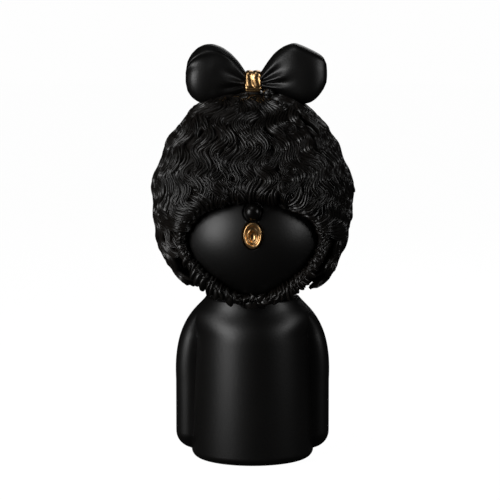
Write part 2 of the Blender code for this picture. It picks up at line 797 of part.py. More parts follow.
def build_loop(side, name, length):
    """One hollow bow loop: a stub inside the knot, then a soft bulb that rests on the hair."""
    start = KNOT_HALF_WIDTH + GAP
    sections = [(x, STUB_HALF_HEIGHT, STUB_HALF_DEPTH, 0.0) for x in (STUB_START, start)]
    for share in (0.06, 0.14, 0.25, 0.38, 0.52, 0.66, 0.78, 0.88, 0.95, 0.985):
        rise, close = loop_swell(share)
        x = start + share * length
        tall = (STUB_HALF_HEIGHT + (LOOP_HALF_HEIGHT - STUB_HALF_HEIGHT) * rise) * close
        thick = (STUB_HALF_DEPTH + (LOOP_HALF_DEPTH - STUB_HALF_DEPTH) * rise) * close
        middle = LOOP_RISE * math.sin(math.pi * share) + LOOP_TIP_RISE * share
        resting = crown_surface_height(x) + 2 * GAP + tall - KNOT_HEIGHT
        sections.append((x, tall, thick, max(middle, resting)))
    rings = []
    for x, tall, thick, middle in sections:
        ring = (superellipse(2 * math.pi * i / 24, 2.3) for i in range(24))
        rings.append([(side * x, thick * a, KNOT_HEIGHT + middle + tall * b) for a, b in ring])
    loop = loft(name, rings, black_vinyl(), cap_start=False)
    shell = loop.modifiers.new("wall", "SOLIDIFY")
    shell.thickness = LOOP_WALL
    shell.offset = -1
    shell.use_even_offset = False


def rounded_block(name, half_x, half_y, half_z, height, rounding, finish=None, cutter=False):
    """A box about the knot's axis, with its long edges along X rounded."""
    bm = bmesh.new()
    bmesh.ops.create_cube(bm, size=2.0)
    bmesh.ops.scale(bm, vec=(half_x, half_y, half_z), verts=bm.verts[:])
    bmesh.ops.translate(bm, vec=(0, 0, height), verts=bm.verts[:])
    along_x = [
        edge for edge in bm.edges if abs(edge.verts[0].co.x - edge.verts[1].co.x) > half_x
    ]
    if rounding:
        bmesh.ops.bevel(
            bm, geom=along_x, offset=rounding, segments=3, profile=0.5, affect="EDGES", material=-1
        )
    return add_object(name, mesh_from(bm, name), finish, cutter)


def build_knot():
    """The gold sleeve, the T-shaped stem inside it, and what clamps the stem in the crown."""
    knot = rounded_block(
        "bow_knot",
        KNOT_HALF_WIDTH,
        KNOT_HALF_DEPTH,
        KNOT_HALF_HEIGHT,
        KNOT_HEIGHT,
        2.4 * MM,
        gold_plate(),
    )
    bore = rounded_block(
        "knot_bore",
        KNOT_HALF_WIDTH + MM,
        KNOT_HALF_DEPTH - KNOT_WALL,
        KNOT_HALF_HEIGHT - KNOT_WALL,
        KNOT_HEIGHT,
        1.6 * MM,
        cutter=True,
    )
    stem_way = cylinder(
        "knot_stem_way",
        BOW_STEM_RADIUS + GAP,
        (0, 0, KNOT_HEIGHT - KNOT_HALF_HEIGHT - MM),
        (0, 0, KNOT_HEIGHT),
        cutter=True,
    )
    boolean(knot, "DIFFERENCE", bore)
    boolean(knot, "DIFFERENCE", stem_way)
    stem_bottom = CROWN_HEIGHT - BOW_STEM_LENGTH
    stem = cylinder(
        "bow_stem",
        BOW_STEM_RADIUS,
        (0, 0, stem_bottom),
        (0, 0, KNOT_HEIGHT),
        finish=black_abs(),
    )
    bar = rounded_block(
        "bow_stem_bar",
        KNOT_HALF_WIDTH + 4 * MM,
        STEM_BAR_FILL * (STUB_HALF_DEPTH - LOOP_WALL),
        STEM_BAR_FILL * (STUB_HALF_HEIGHT - LOOP_WALL),
        KNOT_HEIGHT,
        0.5 * MM,
        cutter=True,
    )
    core = rounded_block(
        "bow_stem_core",
        STUB_START - GAP,
        STUB_HALF_DEPTH,
        STUB_HALF_HEIGHT,
        KNOT_HEIGHT,
        0.8 * MM,
        cutter=True,
    )
    boolean(stem, "UNION", bar)
    boolean(stem, "UNION", core)
    inner = VINYL_WALL + WAVE_DEPTH
    share = 1.6 * BOW_WASHER_RADIUS / (HEAD_HALF_DEPTH - inner)
    roof = HEAD_CENTRE_HEIGHT + (HEAD_ABOVE - inner) * math.sqrt(1 - share * share)
    washer_top = roof - 2 * GAP
    washer_bottom = washer_top - WASHER_THICKNESS
    turned(
        "bow_washer",
        ring_profile(BOW_STEM_RADIUS + GAP, BOW_WASHER_RADIUS, washer_bottom, washer_top),
        plated_steel(),
        segments=24,
        closed=True,
    )
    nut_top = washer_bottom - GAP
    nut_bottom = nut_top - 3 * MM
    nut = cylinder(
        "bow_nut",
        BOW_NUT_RADIUS,
        (0, 0, nut_bottom),
        (0, 0, nut_top),
        segments=6,
        finish=plated_steel(),
    )
    nut_hole = cylinder(
        "bow_nut_hole",
        BOW_STEM_RADIUS + GAP,
        (0, 0, nut_bottom - MM),
        (0, 0, nut_top + MM),
        cutter=True,
    )
    boolean(nut, "DIFFERENCE", nut_hole)


def main():
    for obj in list(bpy.data.objects):
        bpy.data.objects.remove(obj)
    build_body()
    build_base()
    build_neck_joint()
    build_hair()
    build_face()
    build_nose()
    build_mouth()
    build_loop(-1, "bow_loop_left", LOOP_LENGTHS["left"])
    build_loop(1, "bow_loop_right", LOOP_LENGTHS["right"])
    build_knot()


main()
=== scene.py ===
# %% [markdown]
# # A black art toy with sculpted curls
#
# This lesson dresses a mechanical model of a figurine: a bell-shaped body with arms cast on
# it, and a round head of carved curls that turns on the neck. The frame holds the hidden
# mechanics: the neck joint, the ballast and the base. We model what the eye sees around it.

import json
import math

import bmesh
import bpy
import numpy as np
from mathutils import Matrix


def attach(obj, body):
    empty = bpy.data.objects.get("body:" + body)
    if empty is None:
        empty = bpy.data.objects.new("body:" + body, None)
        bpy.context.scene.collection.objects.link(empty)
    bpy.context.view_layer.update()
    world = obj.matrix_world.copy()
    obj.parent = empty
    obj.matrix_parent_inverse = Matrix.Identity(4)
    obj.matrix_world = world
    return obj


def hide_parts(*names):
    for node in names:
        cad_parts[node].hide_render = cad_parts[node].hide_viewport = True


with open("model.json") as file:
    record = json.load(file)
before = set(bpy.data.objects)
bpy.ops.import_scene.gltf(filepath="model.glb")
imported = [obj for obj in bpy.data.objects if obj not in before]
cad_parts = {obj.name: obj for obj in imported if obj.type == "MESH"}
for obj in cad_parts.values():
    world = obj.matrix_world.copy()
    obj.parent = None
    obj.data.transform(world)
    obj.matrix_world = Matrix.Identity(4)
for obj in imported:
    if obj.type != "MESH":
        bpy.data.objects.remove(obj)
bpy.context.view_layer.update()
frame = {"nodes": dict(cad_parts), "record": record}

MM = 0.001
rng = np.random.default_rng(7)

# %% [markdown]
# ## Finishes
#
# The toy is cast in black vinyl and sprayed with a satin black lacquer, so the sheen is even
# but never perfect: it has a fine grain from the spray, slow changes in gloss, and a little
# handling wear. The grain and the changes in gloss are one node group, and a colour that drifts
# between two close tones is another; every finish sets them in its own way.


# %% Node group helpers
def new_group(name, inputs, outputs):
    """An empty shader group with named float or colour sockets."""
    group = bpy.data.node_groups.new(name, "ShaderNodeTree")
    for label, kind, value in inputs:
        made = group.interface.new_socket(name=label, in_out="INPUT", socket_type=kind)
        made.default_value = value
    for label, kind in outputs:
        group.interface.new_socket(name=label, in_out="OUTPUT", socket_type=kind)
    return group, group.nodes.new("NodeGroupInput"), group.nodes.new("NodeGroupOutput")


FLOAT, COLOUR = "NodeSocketFloat", "NodeSocketColor"


def node(tree, kind, values=(), **settings):
    """One node with its settings, and constants put straight on its sockets."""
    made = tree.nodes.new(kind)
    for key, value in settings.items():
        setattr(made, key, value)
    for socket, value in dict(values).items():
        made.inputs[socket].default_value = value
    return made


def grain_group():
    """Spray grain: a height for the bump and a slow change of gloss."""
    group, given, out = new_group(
        "spray_grain",
        [("Grain Scale", FLOAT, 900.0), ("Cloud Scale", FLOAT, 24.0), ("Gloss Change", FLOAT, 0.1)],
        [("Height", FLOAT), ("Gloss", FLOAT)],
    )
    place = node(group, "ShaderNodeTexCoord")
    grain = node(group, "ShaderNodeTexNoise", {"Detail": 2.0})
    cloud = node(group, "ShaderNodeTexNoise", {"Detail": 4.0})
    centred = node(group, "ShaderNodeMath", {1: 0.5}, operation="SUBTRACT")
    scaled = node(group, "ShaderNodeMath", operation="MULTIPLY")
    link = group.links.new
    link(place.outputs["Object"], grain.inputs["Vector"])
    link(place.outputs["Object"], cloud.inputs["Vector"])
    link(given.outputs["Grain Scale"], grain.inputs["Scale"])
    link(given.outputs["Cloud Scale"], cloud.inputs["Scale"])
    link(cloud.outputs["Fac"], centred.inputs[0])
    link(centred.outputs[0], scaled.inputs[0])
    link(given.outputs["Gloss Change"], scaled.inputs[1])
    link(grain.outputs["Fac"], out.inputs["Height"])
    link(scaled.outputs[0], out.inputs["Gloss"])
    return group


def mottle_group():
    """A colour that drifts between two close tones."""
    group, given, out = new_group(
        "mottle",
        [("Scale", FLOAT, 30.0), ("Tone A", COLOUR, (0, 0, 0, 1)), ("Tone B", COLOUR, (0, 0, 0, 1))],
        [("Color", COLOUR)],
    )
    place = node(group, "ShaderNodeTexCoord")
    noise = node(group, "ShaderNodeTexNoise", {"Detail": 5.0, "Roughness": 0.6})
    spread = node(group, "ShaderNodeMapRange", {"From Min": 0.35, "From Max": 0.65})
    mix = node(group, "ShaderNodeMix", data_type="RGBA")
    link = group.links.new
    link(place.outputs["Object"], noise.inputs["Vector"])
    link(given.outputs["Scale"], noise.inputs["Scale"])
    link(noise.outputs["Fac"], spread.inputs["Value"])
    link(spread.outputs["Result"], mix.inputs["Factor"])
    link(given.outputs["Tone A"], mix.inputs[6])
    link(given.outputs["Tone B"], mix.inputs[7])
    link(mix.outputs[2], out.inputs["Color"])
    return group


GRAIN, MOTTLE = grain_group(), mottle_group()
print("node groups ready:", GRAIN.name, MOTTLE.name)


# %% Finishes made from the groups
def finish(name, tone_a, tone_b, rough, metallic=0.0, grain=900.0, bump=0.05, change=0.1, mottle=30.0):
    """A Principled finish with mottled colour, uneven gloss and a fine grain."""
    made = bpy.data.materials.new(name)
    made.use_nodes = True
    tree = made.node_tree
    shader = tree.nodes["Principled BSDF"]
    shader.inputs["Metallic"].default_value = metallic
    colour = node(tree, "ShaderNodeGroup", node_tree=MOTTLE)
    colour.inputs["Scale"].default_value = mottle
    colour.inputs["Tone A"].default_value = (*tone_a, 1)
    colour.inputs["Tone B"].default_value = (*tone_b, 1)
    spray = node(tree, "ShaderNodeGroup", node_tree=GRAIN)
    spray.inputs["Grain Scale"].default_value = grain
    spray.inputs["Gloss Change"].default_value = change
    gloss = node(tree, "ShaderNodeMath", {0: rough}, operation="ADD")
    height = node(tree, "ShaderNodeBump", {"Strength": bump, "Distance": 0.0004})
    link = tree.links.new
    link(colour.outputs["Color"], shader.inputs["Base Color"])
    link(spray.outputs["Gloss"], gloss.inputs[1])
    link(gloss.outputs[0], shader.inputs["Roughness"])
    link(spray.outputs["Height"], height.inputs["Height"])
    link(height.outputs["Normal"], shader.inputs["Normal"])
    return made


BLACK_A, BLACK_B = (0.0016, 0.0014, 0.0013), (0.0028, 0.0025, 0.0022)
satin_black = finish("satin_black", BLACK_A, BLACK_B, 0.42, bump=0.10)
HAIR_A, HAIR_B = (0.0030, 0.0024, 0.0019), (0.0078, 0.0061, 0.0049)
hair_black = finish("hair_black", HAIR_A, HAIR_B, 0.33, bump=0.15)
nose_black = finish("nose_black", BLACK_A, BLACK_B, 0.28, bump=0.02)
nose_black.node_tree.nodes["Principled BSDF"].inputs["Specular IOR Level"].default_value = 0.3
GOLD_A, GOLD_B = (0.70, 0.40, 0.16), (0.88, 0.56, 0.27)
gold = finish("antique_gold", GOLD_A, GOLD_B, 0.30, metallic=1.0, bump=0.02, change=0.1, mottle=160.0)
abs_black = finish("abs_black", (0.022, 0.022, 0.024), (0.03, 0.03, 0.032), 0.5, bump=0.3)
zinc = finish("bright_zinc", (0.5, 0.5, 0.52), (0.62, 0.62, 0.63), 0.32, metallic=1.0, change=0.2)
rubber = finish("black_rubber_pad", (0.016, 0.016, 0.016), (0.024, 0.024, 0.024), 0.8, bump=0.5)
iron = finish("raw_iron", (0.09, 0.085, 0.08), (0.15, 0.145, 0.14), 0.65, metallic=1.0, bump=0.8)

SLOT_FINISH = {
    "black_vinyl": satin_black,
    "black_abs": abs_black,
    "gold": gold,
    "plated_steel": zinc,
    "black_rubber": rubber,
    "ballast_iron": iron,
}
NODE_SLOT = {part["node"]: part["material_slot"] for part in frame["record"]["subparts"]}
for name, obj in frame["nodes"].items():
    obj.data.materials.clear()
    obj.data.materials.append(SLOT_FINISH[NODE_SLOT[name]])
print("finishes:", len(bpy.data.materials))

# %% [markdown]
# ## Skins
#
# Most of the toy's surfaces are closed skins: a flat grid rolled into a tube, its seam welded
# and its ends filled. The grid's corner numbers are kept, so that one blank can be bent into
# any shape by giving a point for every corner.


# %% Rolled blanks
def rolled_blank(name, rows, around, ends=True):
    """A rolled grid whose vertices hold (row, column, 0) until they are shaped."""
    bm = bmesh.new()
    bmesh.ops.create_grid(bm, x_segments=around, y_segments=rows - 1)
    bm.verts.ensure_lookup_table()
    seam = {}
    for row in range(rows):
        for column in range(around + 1):
            vert = bm.verts[row * (around + 1) + column]
            vert.co = (row, column, 0)
            if column == around:
                seam[vert] = bm.verts[row * (around + 1)]
    bmesh.ops.weld_verts(bm, targetmap=seam)
    if ends:
        rims = [edge for edge in bm.edges if edge.is_boundary]
        for row in (0, rows - 1):
            rim = [edge for edge in rims if all(round(v.co.x) == row for v in edge.verts)]
            bmesh.ops.edgeloop_fill(bm, edges=rim)
    bmesh.ops.recalc_face_normals(bm, faces=bm.faces[:])
    mesh = bpy.data.meshes.new(name)
    bm.to_mesh(mesh)
    bm.free()
    return mesh


def corner_numbers(mesh):
    """(row, column) of every vertex of an unshaped blank."""
    flat = np.empty(len(mesh.vertices) * 3)
    mesh.vertices.foreach_get("co", flat)
    numbers = flat.reshape(-1, 3)[:, :2].round().astype(int)
    return numbers[:, 0], numbers[:, 1]


def face_outwards(mesh):
    """Turns a closed mesh's faces the right way, from the sign of its volume."""
    bm = bmesh.new()
    bm.from_mesh(mesh)
    inside_out = bm.calc_volume(signed=True) < 0
    bm.free()
    if inside_out:
        mesh.flip_normals()


def add_piece(mesh, finishes, body, replaced=()):
    """Makes a mesh a piece of the toy that moves with a body."""
    mesh.shade_smooth()
    for material in finishes:
        mesh.materials.append(material)
    piece = bpy.data.objects.new(mesh.name, mesh)
    bpy.context.scene.collection.objects.link(piece)
    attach(piece, body)
    if replaced:
        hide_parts(*replaced)
    return piece


def skin(name, points, finishes, body, replaced=(), ends=True):
    """A piece whose points, an array of rows by columns by 3 in mm, are one rolled blank's."""
    rows, around = points.shape[:2]
    mesh = rolled_blank(name, rows, around, ends)
    row, column = corner_numbers(mesh)
    mesh.vertices.foreach_set("co", (points[row, column] * MM).ravel())
    mesh.update()
    face_outwards(mesh)
    return add_piece(mesh, finishes, body, replaced)


def smoothstep(low, high, value):
    share = np.clip((value - low) / (high - low), 0, 1)
    return share * share * (3 - 2 * share)


print("skin tools ready")

# %% [markdown]
# ## Body
#
# The body is one rotocast vinyl shell. A rotocast wall follows its mould everywhere, so the
# arms are not separate pieces: they are two flaps that swell out of the shoulders and stay
# joined to the barrel, with a groove that deepens on the way down. We draw the outline at each
# height as a circle with an oval lobe on both sides, and let the lobes melt into the shoulders.

# %% Body profile
FOOT_R, SHOULDER_R, NECK_R = 34.9, 32.5, 25.6
DECK, SHOULDER_Z, FOOT_Z = 93.0, 70.0, 0.5  # heights: the deck under the head, and so on down
FOOT_ROUND, EDGE_ROUND = 4.6, 1.0  # radii of the foot's and the deck's edges
FOOT_TOP = FOOT_Z + FOOT_ROUND


def bezier(p0, p1, p2, p3, count):
    t = np.linspace(0, 1, count)[:, None]
    p0, p1, p2, p3 = (np.array(p, float) for p in (p0, p1, p2, p3))
    return (1 - t) ** 3 * p0 + 3 * t * (1 - t) ** 2 * p1 + 3 * t * t * (1 - t) * p2 + t**3 * p3


def quarter(corner_r, corner_z, radius, start, end, count):
    """An arc of the (radius, height) profile, by angle in degrees, 0 being outwards."""
    a = np.radians(np.linspace(start, end, count))
    return np.column_stack([corner_r + radius * np.cos(a), corner_z + radius * np.sin(a)])


rise, fall_z = DECK - SHOULDER_Z, SHOULDER_Z - FOOT_TOP
spread = 0.5 * math.pi * (FOOT_R - SHOULDER_R) / fall_z  # the barrel's slope at the shoulder
shoulder_line = bezier(
    (NECK_R, DECK - EDGE_ROUND),
    (NECK_R, DECK - 0.45 * rise),
    (SHOULDER_R - spread * 0.55 * rise, SHOULDER_Z + 0.55 * rise),
    (SHOULDER_R, SHOULDER_Z),
    30,
)
down = np.linspace(0, 1, 50)
side_r = SHOULDER_R + (FOOT_R - SHOULDER_R) * np.sin(0.5 * math.pi * down)
side_line = np.column_stack([side_r, SHOULDER_Z - fall_z * down])
foot_line = quarter(FOOT_R - FOOT_ROUND, FOOT_TOP, FOOT_ROUND, 0, -90, 12)
barrel = np.vstack(
    [
        quarter(NECK_R - EDGE_ROUND, DECK - EDGE_ROUND, EDGE_ROUND, 90, 0, 6),
        shoulder_line[1:],
        side_line[1:],
        foot_line[1:],
    ]
)
print("body profile:", len(barrel), "points")

# %% Arm profile and sections
ARM_REACH, ARM_BOTTOM, ARM_BEND, HAND_ROUND = 43.9, 5.3, 45.0, 10.0
ARM_DEEP, ARM_HALF = 8.4, 8.8  # half axes of an arm's section: outwards, front to back
arm_top = DECK + 3
arm_line = np.vstack(
    [
        bezier(
            (NECK_R, arm_top),
            (NECK_R, arm_top - 0.15 * (arm_top - ARM_BEND)),
            (ARM_REACH + 0.12 * (ARM_REACH - NECK_R), arm_top - 0.2 * (arm_top - ARM_BEND)),
            (ARM_REACH, ARM_BEND),
            40,
        ),
        quarter(ARM_REACH - HAND_ROUND, ARM_BOTTOM + HAND_ROUND, HAND_ROUND, 0, -90, 14),
    ]
)
# Extra rows where the hands' undersides curl back to the barrel.
extra = np.array([[np.interp(-z, -side_line[:, 1], side_line[:, 0]), z] for z in arm_line[-13:, 1]])
barrel = np.vstack([barrel, extra])
barrel = barrel[np.argsort(-barrel[:, 1], kind="stable")]
above_foot = barrel[:, 1] > FOOT_TOP
barrel = np.vstack([barrel[above_foot], foot_line])

arm_angles = np.concatenate([np.linspace(0, 9, 7), np.linspace(9.5, 21, 28), np.linspace(22, 52, 18)])
quarter_turn = np.concatenate([arm_angles, np.linspace(55, 90, 12)])
half_turn = np.concatenate([quarter_turn, 180 - quarter_turn[-2::-1]])
turns = np.concatenate([half_turn, 360 - half_turn[-2:0:-1]])
from_arm = np.minimum(np.minimum(turns, abs(180 - turns)), 360 - turns)


def arm_radius(reach, share, angle):
    """Radius of an arm's oval section along rays, or nothing where a ray misses it."""
    a, b = ARM_DEEP, ARM_HALF * share
    c, cos, sin = reach - ARM_DEEP, np.cos(angle), np.sin(angle)
    square = cos * cos / (a * a) + sin * sin / (b * b)
    middle = c * cos / (a * a)
    inside = middle * middle - square * (c * c / (a * a) - 1)
    return np.where((inside > 0) & (cos > 0), (middle + np.sqrt(np.maximum(inside, 0))) / square, 0)


def soft_max(one, other, softness):
    """The larger of two values, with the change from one to the other rounded off."""
    overlap = np.maximum(softness - np.abs(one - other), 0) / softness
    return np.maximum(one, other) + overlap * overlap * softness / 4


print("arm profile:", len(arm_line), "points,", len(turns), "corners round the body")

# %% Body rings
WALL, BASE_HOLE, NECK_HOLE = 3.0, 26.5, 14.0
rings = []
for radius, z in barrel:
    reach = max(np.interp(-z, -arm_line[:, 1], arm_line[:, 0]), radius) if z >= ARM_BOTTOM else radius
    angle = np.radians(from_arm)
    end = 0.72 + 0.28 * float(smoothstep(ARM_BOTTOM, ARM_BOTTOM + 9, z))
    lobed = soft_max(np.full(len(angle), radius), arm_radius(reach, end, angle), 0.7)
    broad = radius + (reach - radius) * (0.5 + 0.5 * np.cos(2 * angle)) ** 1.4
    joined = float(smoothstep(71, 87, z))
    r = lobed * (1 - joined) + broad * joined if z >= ARM_BOTTOM else np.full(len(angle), radius)
    a = np.radians(turns)
    rings.append(np.column_stack([r * np.cos(a), r * np.sin(a), np.full(len(a), z)]))
a = np.radians(turns)
# The inside, from the hole in the foot up to the hole in the deck.
for radius, z in (
    (BASE_HOLE, FOOT_Z),
    (BASE_HOLE, FOOT_Z + WALL),
    (FOOT_R - WALL, FOOT_Z + WALL),
    (SHOULDER_R - WALL, SHOULDER_Z),
    (NECK_R - WALL, DECK - WALL),
    (NECK_HOLE, DECK - WALL),
    (NECK_HOLE, DECK),
):
    rings.append(np.column_stack([radius * np.cos(a), radius * np.sin(a), np.full(len(a), z)]))
rings.append(rings[0])
body_points = np.array(rings)
body_mesh = rolled_blank("body_skin", len(rings), len(turns), ends=False)
row, column = corner_numbers(body_mesh)
body_mesh.vertices.foreach_set("co", (body_points[row, column] * MM).ravel())
bm = bmesh.new()
bm.from_mesh(body_mesh)
bmesh.ops.remove_doubles(bm, verts=bm.verts[:], dist=1e-7)
bmesh.ops.recalc_face_normals(bm, faces=bm.faces[:])
bm.to_mesh(body_mesh)
bm.free()
face_outwards(body_mesh)
body_mesh.set_sharp_from_angle(angle=math.radians(50))
add_piece(body_mesh, [satin_black], "body", ["body_shell"])
print("body skin:", len(body_mesh.polygons), "faces")

# %% [markdown]
# ## Face
#
# The face is its own casting: a smooth dome that plugs into the opening in the hair. It has a
# round seat for the nose and a shallow oval rebate round the mouth, so both read as inlays.

# %% Face shell
FACE_Z, FACE_W, FACE_UP, FACE_DOWN = 130.5, 36.2, 22.2, 31.4
DOME_Y, DOME = -12.0, (43.8, 38.0, 38.9)
NOSE_Z, NOSE_R, MOUTH_Z, MOUTH_W, MOUTH_H = 146.9, 4.8, 134.3, 5.2, 7.5


def dome_y(x, z):
    inside = 1 - (x / DOME[0]) ** 2 - ((z - FACE_Z) / DOME[2]) ** 2
    return DOME_Y - DOME[1] * np.sqrt(np.maximum(0.02, inside))


def face_seats(x, z):
    """How far the dome is sunk at a point, for the nose's seat and the mouth's rebate."""
    nose = np.hypot(x, z - NOSE_Z)
    seat = 1.1 * (1 - smoothstep(5.3, 5.8, nose)) - 0.22 * np.exp(-(((nose - 6.1) / 0.35) ** 2))
    mouth = np.hypot(x / (MOUTH_W + 0.55), (z - MOUTH_Z) / (MOUTH_H + 0.55))
    rebate = 2.0 * (1 - smoothstep(0.93, 1.03, mouth)) - 0.2 * np.exp(-(((mouth - 1.1) / 0.05) ** 2))
    return np.maximum(seat, rebate)


bm = bmesh.new()
bmesh.ops.create_grid(bm, x_segments=210, y_segments=190, size=1.0)
mesh = bpy.data.meshes.new("face_dome")
bm.to_mesh(mesh)
flat = np.empty(len(mesh.vertices) * 3)
mesh.vertices.foreach_get("co", flat)
square = flat.reshape(-1, 3)
u, v = square[:, 0], square[:, 1]
disc_x, disc_z = u * np.sqrt(1 - v * v / 2), v * np.sqrt(1 - u * u / 2)
x = disc_x * FACE_W
z = FACE_Z + disc_z * np.where(disc_z > 0, FACE_UP, FACE_DOWN)
y = dome_y(x, z) + face_seats(x, z)
mesh.vertices.foreach_set("co", (np.column_stack([x, y, z]) * MM).ravel())
bm.free()
bm = bmesh.new()
bm.from_mesh(mesh)
rim = [edge for edge in bm.edges if edge.is_boundary]
made = bmesh.ops.extrude_edge_only(bm, edges=rim)["geom"]
skirt = [item for item in made if isinstance(item, bmesh.types.BMVert)]
bmesh.ops.translate(bm, verts=skirt, vec=(0, 9 * MM, 0))
back = [edge for edge in bm.edges if edge.is_boundary]
bmesh.ops.edgeloop_fill(bm, edges=back)
bmesh.ops.recalc_face_normals(bm, faces=bm.faces[:])
bm.to_mesh(mesh)
bm.free()
face_outwards(mesh)
add_piece(mesh, [satin_black], "head", ["face_shell"])
print("face dome:", len(mesh.polygons), "faces")

# %% [markdown]
# ## Nose and mouth
#
# The nose is a glossier bead. The mouth is cast in brass: a rolled outer lip, a second lip
# inside it and a deep cup, which together throw the bright and dark bands that make small
# gold pieces sparkle.

# %% Nose bead
bm = bmesh.new()
bmesh.ops.create_uvsphere(bm, u_segments=64, v_segments=40, radius=NOSE_R * MM)
nose_y = float(dome_y(0, NOSE_Z)) - 1.6
bmesh.ops.translate(bm, verts=bm.verts[:], vec=(0, nose_y * MM, NOSE_Z * MM))
mesh = bpy.data.meshes.new("nose")
bm.to_mesh(mesh)
bm.free()
add_piece(mesh, [nose_black], "head", ["nose_bead"])

# %% Mouth
MOUTH_SECTION = (
    # share of the oval, depth behind the dome, drop of the ring's centre
    (0.80, 3.2, 0.0),
    (0.94, 2.0, 0.0),
    (0.99, 0.5, 0.0),
    (1.00, -0.4, 0.0),
    (0.98, -1.05, 0.0),
    (0.93, -1.5, 0.0),
    (0.86, -1.65, 0.0),
    (0.79, -1.45, 0.0),
    (0.73, -1.0, 0.05),
    (0.67, -0.55, 0.15),
    (0.61, -0.3, 0.3),
    (0.55, -0.35, 0.45),
    (0.50, -0.5, 0.55),
    (0.45, -0.35, 0.6),
    (0.40, 0.1, 0.6),
    (0.34, 0.7, 0.55),
    (0.27, 1.1, 0.45),
    (0.19, 1.35, 0.3),
    (0.11, 1.5, 0.15),
    (0.04, 1.55, 0.1),
)
angles = np.linspace(0, 2 * math.pi, 72, endpoint=False)
mouth_front = float(dome_y(0, MOUTH_Z))
section = np.array(MOUTH_SECTION)
fine = np.linspace(0, len(section) - 1, 60)
section = np.column_stack([np.interp(fine, np.arange(len(section)), section[:, k]) for k in range(3)])
kernel = np.array([0.25, 0.5, 0.25])
for _ in range(2):
    inner = np.column_stack([np.convolve(section[:, k], kernel, "same") for k in range(3)])
    section[1:-1] = inner[1:-1]
rings = []
for share, depth, drop in section:
    ripple = 0.12 * np.sin(5 * angles + 1.3) * np.exp(-(((share - 0.6) / 0.12) ** 2))
    rings.append(
        np.column_stack(
            [
                MOUTH_W * share * np.cos(angles),
                mouth_front + depth + ripple,
                MOUTH_Z - drop + MOUTH_H * share * np.sin(angles),
            ]
        )
    )
skin("mouth", np.array(rings), [gold], "head", ["mouth_lips"])
print("nose and mouth made")

# %% [markdown]
# ## Hair: the ground under the curls
#
# The hair is one casting, but a sculptor builds it the way hair lies: a ground shape first,
# then lock over lock. The ground is a ball with an egg-shaped opening whose edge is rolled
# over. We describe it by a distance: negative inside the hair, zero on its surface.

# %% Ground distance
BALL = np.array([53.5, 50.2, 64.6])
BALL_Z, BALL_DOWN = 146.0, 55.5
FLOOR_Z = 94.4  # the ground's flat underside, round the neck
RIM_SOFTNESS = 7.0
RIM_ROOM = 2.4  # locks fill this much between the ground's rim and the face
OPENING_BACK = -14.0
CHEEK_PINCH = 0.085  # share by which the opening is drawn in beside the chin


def drawn_in(px, pz):
    """How much narrower than an ellipse the opening is, in a direction from its middle."""
    both = 2 * px * pz / np.maximum(px * px + pz * pz, 1e-9)
    return 1 - CHEEK_PINCH * both * both * (pz < 0)


def egg_place(x, z):
    """A point's place in the face's egg, as shares of its half axes, and the upright axis."""
    tall = np.where(z > FACE_Z, FACE_UP, FACE_DOWN)
    return x / FACE_W, (z - FACE_Z) / tall, tall


def opening_distance(x, z):
    """Distance outside the face's egg-shaped opening, in the plane of the face."""
    px, pz, tall = egg_place(x, z)
    k = np.hypot(px, pz) / drawn_in(px, pz)
    slope = np.hypot(px / FACE_W, pz / tall)
    return k * (k - 1) / np.maximum(slope, 1e-6)


def ground(p):
    """Signed distance, nearly, to the hair's ground surface."""
    x, y, z = p[..., 0], p[..., 1], p[..., 2] - BALL_Z
    flat = x * x + y * y
    along_y = y * y / np.maximum(flat, 1e-6)
    facing = along_y**2
    chin = along_y**0.9 * (y < 0)
    tall = np.where(z > 0, BALL[2], BALL_DOWN + 5.5 * chin)
    power = 2.0 + np.where(z > 0, 0, 0.4 * facing + 1.3 * chin)
    plan = np.where(y < 0, 2.5, 2.0)
    rho = (np.abs(x / BALL[0]) ** plan + np.abs(y / BALL[1]) ** plan) ** (1 / plan)
    k = (rho**power + np.abs(z / tall) ** power) ** (1 / power)
    ball = (k - 1) * np.sqrt(flat + z * z) / np.maximum(k, 1e-6)
    ball = soft_max(ball, FLOOR_Z - p[..., 2], 5.0)
    hole = -np.maximum(opening_distance(x, p[..., 2]) - RIM_ROOM, y - OPENING_BACK)
    return soft_max(ball, hole, RIM_SOFTNESS)


def slope_of(p, step=0.05):
    """The outward normal of the ground's distance."""
    parts = []
    for k in range(3):
        ahead, behind = p.copy(), p.copy()
        ahead[..., k] += step
        behind[..., k] -= step
        parts.append((ground(ahead) - ground(behind)) / (2 * step))
    return np.stack(parts, axis=-1)


def unit(v):
    return v / np.maximum(np.linalg.norm(v, axis=-1, keepdims=True), 1e-9)


def drop_to(p, level=0.0, rounds=4):
    """Moves points onto the surface at a distance level."""
    for _ in range(rounds):
        slope = slope_of(p)
        size = np.maximum((slope * slope).sum(-1, keepdims=True), 0.05)
        p = p - slope * ((ground(p) - level)[..., None]) / size
    return p


# %% Ground skin
INSIDE_R = 52  # a ball inside the hair, from which points drop onto the ground
EDGE_OVERLAP = 1.01  # the skin starts this much outside the face's edge, as a share
angles = np.linspace(0, 2 * math.pi, 144, endpoint=False)
tall = np.where(np.sin(angles) > 0, FACE_UP, FACE_DOWN)
rings = []
for y in np.linspace(-16, -34, 7):
    x, z = FACE_W * EDGE_OVERLAP * np.cos(angles), FACE_Z + EDGE_OVERLAP * tall * np.sin(angles)
    rings.append(np.column_stack([x, np.full(len(angles), y), z]))
x, z = FACE_W * np.cos(angles), FACE_Z + tall * np.sin(angles)
start = np.column_stack([x, np.full(len(angles), -48.0), z]) - [0, 0, BALL_Z]
